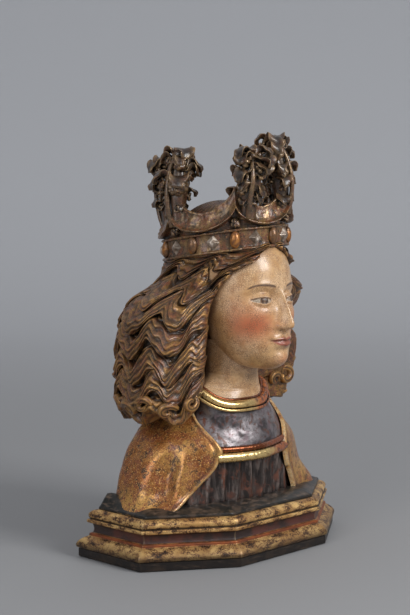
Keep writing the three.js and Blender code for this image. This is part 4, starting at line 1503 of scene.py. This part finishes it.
def gilding(name, leaf, worn_leaf, bole, dirt_and_shade, bole_share, patch_mm, soil, shine=0.6, coat=0.2,
            grain=0.45, strands=False):
    """bole_share is the noise level where the bole starts to show, patch_mm the size of its patches;
    soil, shine, coat and grain say how strong the dirt, the metal, the varnish and the flecks are."""
    f = Finish(name)
    bright_leaf = [BRIGHT * c for c in leaf]
    patches = f.noise(patch_mm, 6, 0.65, 0.4)
    specks = f.noise(patch_mm / 6, 5, 0.75)
    fine = f.noise(1.5, 3, 0.7)
    tone = f.blend(f.step(f.noise(patch_mm * 2.5, 3), 0.36, 0.62), leaf, worn_leaf)
    both = f.plus(f.times(patches, 0.6), f.times(specks, 0.4))
    rubbed = f.step(both, bole_share, bole_share + 0.07)
    color = f.blend(rubbed, tone, bole)
    soiled = f.step(f.noise(patch_mm * 0.55, 6, 0.72, 0.6), 0.5, 0.64)
    color = f.blend(f.times(soiled, soil), color, dirt_and_shade)
    small = f.plus(f.times(fine, 0.6), f.times(specks, 0.4))
    flecks = f.step(small, 0.54, 0.62)
    color = f.blend(f.times(flecks, grain), color, bright_leaf)
    pits = f.step(f.noise(1.9, 4, 0.75), 0.55, 0.62)
    color = f.blend(f.times(pits, grain), color, dirt_and_shade)
    closed = f.shade_and_dirt_in_hollows(9, 0.3, 0.95)
    deep = f.most(closed, f.times(f.kept("hollow"), 0.85))
    bumps = [(patches, 0.35), (fine, 0.16)]
    if strands:
        wave = f.times(f.kept("strands"), TURN)
        line = f.math("ABSOLUTE", f.math("SINE", f.plus(wave, f.times(specks, 1.5))))
        # painted shade: a fine dark line along every groove of the hair
        groove = f.rest(f.step(line, 0.0, 0.5))
        deep = f.most(deep, f.times(groove, 0.55))
        bumps.append((line, 0.3))
    # painted shade and dirt: the deep and closed-in places take the dark colour
    color = f.blend(deep, color, dirt_and_shade)
    # rubbed leaf and painted highlight: sharp edges are brightened
    color = f.blend(f.times(f.edges(), 0.6), color, bright_leaf)
    hem = f.times(f.kept("hem"), f.step(specks, 0.6, 0.46))
    hem = f.times(hem, f.step(f.noise(13, 3), 0.4, 0.52))
    color = f.blend(f.times(hem, 0.85), color, HEM_LEAF)
    clean = f.rest(f.most(deep, f.times(soiled, soil)))
    metal = f.times(f.times(f.rest(rubbed), shine), clean)
    rough_specks = f.times(specks, 0.22)
    rough = f.plus(rough_specks, f.plus(0.2, f.times(soiled, 0.15)))
    f.shader.inputs["Coat Weight"].default_value = coat
    f.shader.inputs["Coat Roughness"].default_value = 0.25
    return f.finish(color, metal, rough, bumps)


hair_gold = gilding(
    "hair_gilding", leaf=(0.45, 0.235, 0.068), worn_leaf=(0.17, 0.09, 0.038), bole=(0.19, 0.06, 0.024),
    dirt_and_shade=(0.012, 0.0065, 0.004), bole_share=0.475, patch_mm=15, soil=0.85, strands=True)
crown_gold = gilding(
    "crown_gilding", leaf=(0.34, 0.2, 0.08), worn_leaf=(0.1, 0.065, 0.04), bole=(0.16, 0.055, 0.024),
    dirt_and_shade=(0.01, 0.008, 0.006), bole_share=0.47, patch_mm=11, soil=0.97, coat=0.25, grain=0.6)
leaf_gold = gilding(
    "leaf_gilding", leaf=(0.24, 0.15, 0.07), worn_leaf=(0.08, 0.055, 0.038), bole=(0.12, 0.045, 0.022),
    dirt_and_shade=(0.007, 0.005, 0.004), bole_share=0.47, patch_mm=10, soil=0.85, coat=0.4, grain=0.6)
cloak_gold = gilding(
    "cloak_gilding", leaf=(0.58, 0.315, 0.09), worn_leaf=(0.34, 0.115, 0.03), bole=(0.2, 0.052, 0.02),
    dirt_and_shade=(0.02, 0.01, 0.006), bole_share=0.48, patch_mm=18, soil=0.95, shine=0.55, coat=0.1, grain=0.9)
print("gildings:", [m.name for m in (hair_gold, crown_gold, leaf_gold, cloak_gold)])

# %% [markdown]
# The mouldings need their bands of colour at fixed heights, so their recipe reads the height above
# the ground: gold, a red hollow with a brighter lower line, and gold again. The gold is worn in level
# streaks, as a hand or a cloth rubs along a moulding.

# %% The plinth's finish
# Where each band of colour starts and ends, both as soft steps in mm of height
RED_HOLLOW = (33.8, 34.8), (47.2, 48.2)
BRIGHT_LINE = (29.6, 30.4), (33.6, 34.6)
DARK_GROOVE = (53.4, 54), (55, 56)


def plinth_finish():
    f = Finish("plinth_gilding")
    z = f.millimetres("Z")
    patches = f.streaks(15, 0.42, 8)
    specks = f.noise(2.1, 5, 0.8)
    worn = f.plus(f.times(patches, 0.5), f.times(specks, 0.5))
    gold = f.blend(f.step(f.noise(30, 3), 0.4, 0.6), (0.76, 0.49, 0.19), (0.5, 0.28, 0.095))
    gold = f.blend(f.step(worn, 0.455, 0.54), gold, (0.24, 0.11, 0.045))
    gold = f.blend(f.step(worn, 0.51, 0.58), gold, (0.032, 0.018, 0.012))
    # rubbed gilding and painted highlight: sharp edges are brightened
    gold = f.blend(f.times(f.edges(), 0.5), gold, (0.9, 0.66, 0.32))
    low = f.rest(f.step(f.plus(z, f.times(worn, 14.0)), 20, 36))
    gold = f.blend(f.times(low, 0.75), gold, (0.035, 0.022, 0.015))
    red = f.blend(f.step(f.noise(28, 4, 0.6), 0.38, 0.6), (0.085, 0.024, 0.015), (0.026, 0.013, 0.01))
    line = f.blend(f.step(patches, 0.4, 0.6), (0.36, 0.1, 0.03), (0.2, 0.06, 0.025))
    inside = f.between(z, *RED_HOLLOW)
    below = f.between(z, *BRIGHT_LINE)
    groove = f.between(z, *DARK_GROOVE)
    color = f.blend(inside, gold, red)
    color = f.blend(below, color, line)
    color = f.blend(f.times(groove, 0.8), color, (0.02, 0.012, 0.008))
    mitre = f.rest(f.step(f.kept("mitre"), 0.004, 0.012))
    color = f.blend(f.times(mitre, 0.35), color, (0.4, 0.27, 0.14))
    # painted shade: the closed-in places of the moulding are darkened
    closed = f.shade_and_dirt_in_hollows(7, 0.3, 0.9)
    color = f.blend(closed, color, (0.018, 0.01, 0.007))
    metal = f.times(f.rest(f.most(inside, closed)), 0.5)
    rough = f.plus(0.28, f.times(specks, 0.25))
    return f.finish(color, metal, rough, [(patches, 0.35), (specks, 0.25)])


plinth_gold = plinth_finish()
print("plinth finish", len(plinth_gold.node_tree.nodes), "nodes")

# %% [markdown]
# The rolls of the collar and the chest are bright gold on the figure's right and bare red bole on its
# left. The foot and the board are painted black, and brown wood shows where they are rubbed.


# %% Rolls, foot and board
def roll_finish(name, gold, red, split_mm):
    """Gold leaf that gives way to bare red bole towards the figure's left, from split_mm on"""
    f = Finish(name)
    x = f.millimetres("X")
    shift = f.plus(x, f.times(f.math("SUBTRACT", f.noise(14, 4), 0.5), 60.0))
    bare = f.step(shift, split_mm - 8, split_mm + 16)
    specks = f.noise(3, 4, 0.7)
    leaf = f.blend(f.step(specks, 0.53, 0.66), gold, (0.24, 0.11, 0.04))
    color = f.blend(bare, leaf, f.blend(f.step(f.noise(7, 4), 0.42, 0.6), red, (0.12, 0.05, 0.03)))
    # painted shade: closed-in places of the rolls are darkened
    closed = f.shade_and_dirt_in_hollows(6, 0.25, 0.9)
    color = f.blend(closed, color, (0.02, 0.01, 0.007))
    metal = f.times(f.rest(bare), 0.85)
    return f.finish(color, metal, f.plus(0.16, f.times(specks, 0.2)),
                    [(f.noise(8, 4), 0.3), (specks, 0.15)])


def black_finish(name, dark, warm, gloss):
    """Black paint, rubbed through to a warmer brown. gloss is the roughness of its smoothest places."""
    f = Finish(name)
    rub = f.step(f.noise(16, 5, 0.65), 0.46, 0.64)
    color = f.blend(rub, dark, warm)
    grain = f.step(f.streaks(20, 0.16, 6), 0.54, 0.66)
    color = f.blend(f.times(grain, 0.6), color, [2.2 * c for c in warm])
    f.shader.inputs["Specular IOR Level"].default_value = 0.35
    rough = f.plus(gloss, f.times(f.noise(4, 4), 0.2))
    return f.finish(color, 0.0, rough, [(f.noise(9, 5), 0.3), (f.noise(1.4, 3), 0.08)])


collar_gold = roll_finish("collar_gilding", gold=(0.8, 0.56, 0.24), red=(0.36, 0.11, 0.035), split_mm=-6)
band_gold = roll_finish("band_gilding", gold=(0.82, 0.6, 0.26), red=(0.26, 0.085, 0.035), split_mm=6)
cord_red = roll_finish("cord_bole", gold=(0.2, 0.06, 0.025), red=(0.17, 0.05, 0.022), split_mm=0)
foot_black = black_finish("foot_black", (0.018, 0.017, 0.015), (0.07, 0.048, 0.034), gloss=0.22)
board_black = black_finish("board_black", (0.013, 0.01, 0.009), (0.03, 0.02, 0.014), gloss=0.3)
print("rolls, foot and board:", len(bpy.data.materials), "materials so far")

# %% [markdown]
# The dress was silver leaf, which has turned blue-black and violet-grey, with the red ground
# showing in worn patches. It keeps a soft metal shine. Below the band the pleats are rubbed in upright
# streaks. The stones are pale lozenges and amber almonds, some of them dulled by old varnish.


# %% Dress and stones
def dress_finish():
    f = Finish("silvered_dress")
    cloudy = f.noise(30, 5, 0.6, 0.5)
    specks = f.noise(5, 4, 0.7)
    z = f.millimetres("Z")
    chest = f.step(z, BAND_HEIGHT - 4, BAND_HEIGHT + 6)
    silver = f.blend(f.step(cloudy, 0.38, 0.6), (0.07, 0.06, 0.062), (0.26, 0.235, 0.24))
    silver = f.blend(f.step(f.noise(12, 5, 0.65), 0.5, 0.64), silver, (0.2, 0.15, 0.16))
    worn_folds = f.streaks(7, 7)
    skirt = f.blend(f.step(worn_folds, 0.42, 0.6), (0.045, 0.036, 0.032), (0.21, 0.165, 0.145))
    skirt = f.blend(f.step(f.streaks(9, 5), 0.55, 0.66), skirt, (0.16, 0.06, 0.035))
    silver = f.blend(chest, skirt, silver)
    silver = f.blend(f.times(f.step(specks, 0.54, 0.66), 0.6), silver, (0.02, 0.017, 0.02))
    worn = f.step(f.plus(f.times(f.noise(22, 6, 0.72, 0.8), 0.7),
                         f.times(specks, 0.3)), 0.515, 0.58)
    ground = f.blend(f.step(f.noise(11, 4), 0.4, 0.6), (0.16, 0.055, 0.03), (0.075, 0.036, 0.025))
    color = f.blend(worn, silver, ground)
    # painted shade: pleat valleys and closed-in places are darkened
    closed = f.shade_and_dirt_in_hollows(10, 0.25, 0.9)
    deep = f.most(closed, f.times(f.kept("hollow"), 0.45))
    color = f.blend(deep, color, (0.012, 0.009, 0.01))
    metal = f.times(f.rest(worn), 0.55)
    rough = f.plus(0.24, f.times(f.noise(6, 4), 0.22))
    return f.finish(color, metal, rough, [(cloudy, 0.5), (f.noise(2.2, 4, 0.65), 0.12)])


def stone_finish():
    f = Finish("band_stones")
    almond = f.kept("kind")
    pale = f.blend(f.step(f.noise(5, 4), 0.4, 0.6), (0.66, 0.57, 0.48), (0.34, 0.26, 0.2))
    amber = f.blend(f.step(f.noise(5, 4), 0.42, 0.62), (0.42, 0.17, 0.04), (0.2, 0.08, 0.03))
    color = f.blend(almond, pale, amber)
    dull = f.step(f.noise(26, 2), 0.44, 0.56)
    color = f.blend(f.times(dull, 0.7), color, (0.1, 0.065, 0.04))
    # painted shade: the stones are darkened where they are closed in
    closed = f.shade_and_dirt_in_hollows(5, 0.3, 0.9)
    color = f.blend(closed, color, (0.02, 0.012, 0.008))
    return f.finish(color, 0.35, 0.32, [(f.noise(3, 4), 0.2)])


dress_silver = dress_finish()
stones_glaze = stone_finish()
print("dress", len(dress_silver.node_tree.nodes), "nodes, stones", len(stones_glaze.node_tree.nodes))

# %% [markdown]
# The flesh is ivory oil paint over a white ground: warm and glossy, with rosy cheeks, a net of very
# fine cracks, small dark specks, and thin painted brows. Its hollows are darkened with painted shade.


# %% Flesh paint
def flesh_finish():
    f = Finish("painted_flesh")
    tone = f.blend(f.step(f.noise(40, 3), 0.35, 0.65), (0.6, 0.36, 0.16), (0.72, 0.48, 0.27))
    cloud = f.step(f.noise(15, 6, 0.7), 0.46, 0.62)
    tone = f.blend(f.times(cloud, 0.6), tone, (0.44, 0.22, 0.08))
    tone = f.blend(f.times(f.kept("blush"), 0.95, clamp=True), tone, (0.56, 0.15, 0.06))
    tone = f.blend(f.kept("lips"), tone, (0.36, 0.095, 0.06))
    tone = f.blend(f.kept("eye"), tone, (0.5, 0.42, 0.32))
    tone = f.blend(f.step(f.kept("iris"), 0.1, 0.6), tone, (0.035, 0.02, 0.012))
    tone = f.blend(f.times(f.step(f.kept("line"), 0.1, 0.8), 0.9), tone, (0.05, 0.025, 0.015))
    tone = f.blend(f.times(f.kept("mouth"), 0.6), tone, (0.12, 0.03, 0.02))
    cracks = f.add("TexVoronoi", {"Vector": f.place, "Scale": 1000 / 2.6}, feature="DISTANCE_TO_EDGE")
    net = f.rest(f.step(cracks.outputs["Distance"], 0.0, 0.14))
    net = f.times(net, f.step(f.noise(20, 3), 0.3, 0.55))
    tone = f.blend(f.times(net, 0.75), tone, (0.19, 0.09, 0.045))
    grime = f.step(f.noise(3.2, 6, 0.75), 0.5, 0.64)
    tone = f.blend(f.times(grime, 0.45), tone, (0.34, 0.17, 0.07))
    dots = f.add("TexVoronoi", {"Vector": f.place, "Scale": 1000 / 7})
    speck = f.rest(f.step(dots.outputs["Distance"], 0.05, 0.09))
    tone = f.blend(f.times(speck, 0.6), tone, (0.16, 0.07, 0.04))
    # painted shade: the face's hollows are darkened to a warm brown
    closed = f.shade_and_dirt_in_hollows(12, 0.2, 0.85)
    tone = f.blend(f.times(closed, 0.75), tone, (0.13, 0.055, 0.03))
    f.shader.inputs["Coat Weight"].default_value = 0.4
    f.shader.inputs["Coat Roughness"].default_value = 0.18
    rough = f.plus(0.34, f.times(f.noise(5, 3), 0.12))
    return f.finish(tone, 0.0, rough, [(net, -0.06), (f.noise(9, 4), 0.18)])


flesh_paint = flesh_finish()
print("finishes", len(bpy.data.materials))

# %% [markdown]
# ## Handing the pieces to the frame
#
# Each piece gets its finish, rides on the object's one body, and stands for the plain solid that it
# replaces.


# %% Ride, replace
def settle(piece, node, finish):
    piece.data.materials.clear()
    piece.data.materials.append(finish)
    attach(piece, "root")
    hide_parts(node)


settle(plinth, "plinth", plinth_gold)
settle(foot, "bust", foot_black)
settle(cloak_piece, "bust", cloak_gold)
settle(dress_piece, "bust", dress_silver)
settle(collar_piece, "bust", collar_gold)
settle(collar_cord, "bust", cord_red)
settle(band_low, "bust", band_gold)
settle(band_top, "bust", cord_red)
settle(face_piece, "bust", flesh_paint)
settle(neck_piece, "bust", flesh_paint)
for piece in (hair_mass, curls_piece, dome_piece):
    settle(piece, "bust", hair_gold)
settle(ring_piece, "bust", crown_gold)
settle(finial_leaves, "bust", leaf_gold)
settle(finial_tips, "bust", leaf_gold)
settle(stones_piece, "bust", stones_glaze)
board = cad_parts["base_board"]
board.data.materials.clear()
board.data.materials.append(board_black)

# %% [markdown]
# ## Floor and light
#
# The floor is a pale sheet that curves up all round, so that every side looks the same. Its colour is
# painted darker near the figure and paler up the curve, as painted shade and light. Large soft lamps
# stand in for a photographer's screens: the main one above and in front of the figure, a weaker one
# on the camera's left, one for the sheet behind, and an even surround. The sizes of the studio are in
# metres.

# %% Floor
FLOOR_REACH = 9.0
FLOOR_FLAT = 3.0
FLOOR_BEND = 2.8
FLOOR_DROP = 0.001
FLOOR_NEAR = (0.29, 0.292, 0.298)
FLOOR_FAR = (0.58, 0.59, 0.61)


def floor_sheet():
    def place(u, v):
        run = FLOOR_REACH * v**1.5
        bent = run - FLOOR_FLAT
        curve = np.clip(bent / FLOOR_BEND, 0, math.pi / 2)
        out = np.minimum(run, FLOOR_FLAT) + FLOOR_BEND * np.sin(curve)
        height = FLOOR_BEND * (1 - np.cos(curve)) + np.clip(bent - FLOOR_BEND * math.pi / 2, 0, None)
        turn = (u % 1) * TURN
        points = np.stack([out * np.cos(turn), out * np.sin(turn), height - FLOOR_DROP], -1)
        return points / MM, {"run": run}

    sheet = carve("floor", 96, 80, place)
    f = Finish("pale_floor")
    # painted shade and light: the sheet is darker near the figure and paler further out
    soft = f.blend(f.step(f.kept("run"), 0.2, 5.2), FLOOR_NEAR, FLOOR_FAR)
    sheet.data.materials.append(f.finish(soft, 0.0, 0.75))
    return sheet


floor = floor_sheet()
print("floor", len(floor.data.polygons), "faces")

# %% [markdown]
# Each lamp is a square of light that is turned to face what it lights.

# %% Light
FIGURE = (0, 0, 0.3)
SHEET_BEHIND = (2.8, 2.8, 0.8)
LAMPS = {
    "main_lamp": dict(place=(0.3, -2.3, 1.6), aim=FIGURE, size=1.0, power=52),
    "fill_lamp": dict(place=(-2.4, -0.5, 1.3), aim=FIGURE, size=1.4, power=20),
    "back_lamp": dict(place=(2.2, 1.0, 2.8), aim=SHEET_BEHIND, size=1.6, power=14),
}
SURROUND = (0.62, 0.63, 0.66, 1)
SURROUND_STRENGTH = 0.75


def lamp(name, place, aim, size, power):
    bpy.ops.object.light_add(type="AREA", location=place)
    light = bpy.context.object
    light.name = name
    light.data.size = size
    light.data.energy = power
    way = np.array(place) - np.array(aim)
    side = unit(np.cross((0, 0, 1.0), way))
    up = unit(np.cross(way, side))
    light.rotation_mode = "QUATERNION"
    light.rotation_quaternion = Matrix((side, up, unit(way))).transposed().to_quaternion()


def surround():
    world = bpy.data.worlds.new("surround")
    bpy.context.scene.world = world
    world.use_nodes = True
    background = world.node_tree.nodes["Background"]
    background.inputs["Color"].default_value = SURROUND
    background.inputs["Strength"].default_value = SURROUND_STRENGTH
    bpy.context.scene.view_settings.view_transform = "Standard"


for name, values in LAMPS.items():
    lamp(name, **values)
surround()
print("lamps:", ", ".join(LAMPS))

# %% [markdown]
# ## The end
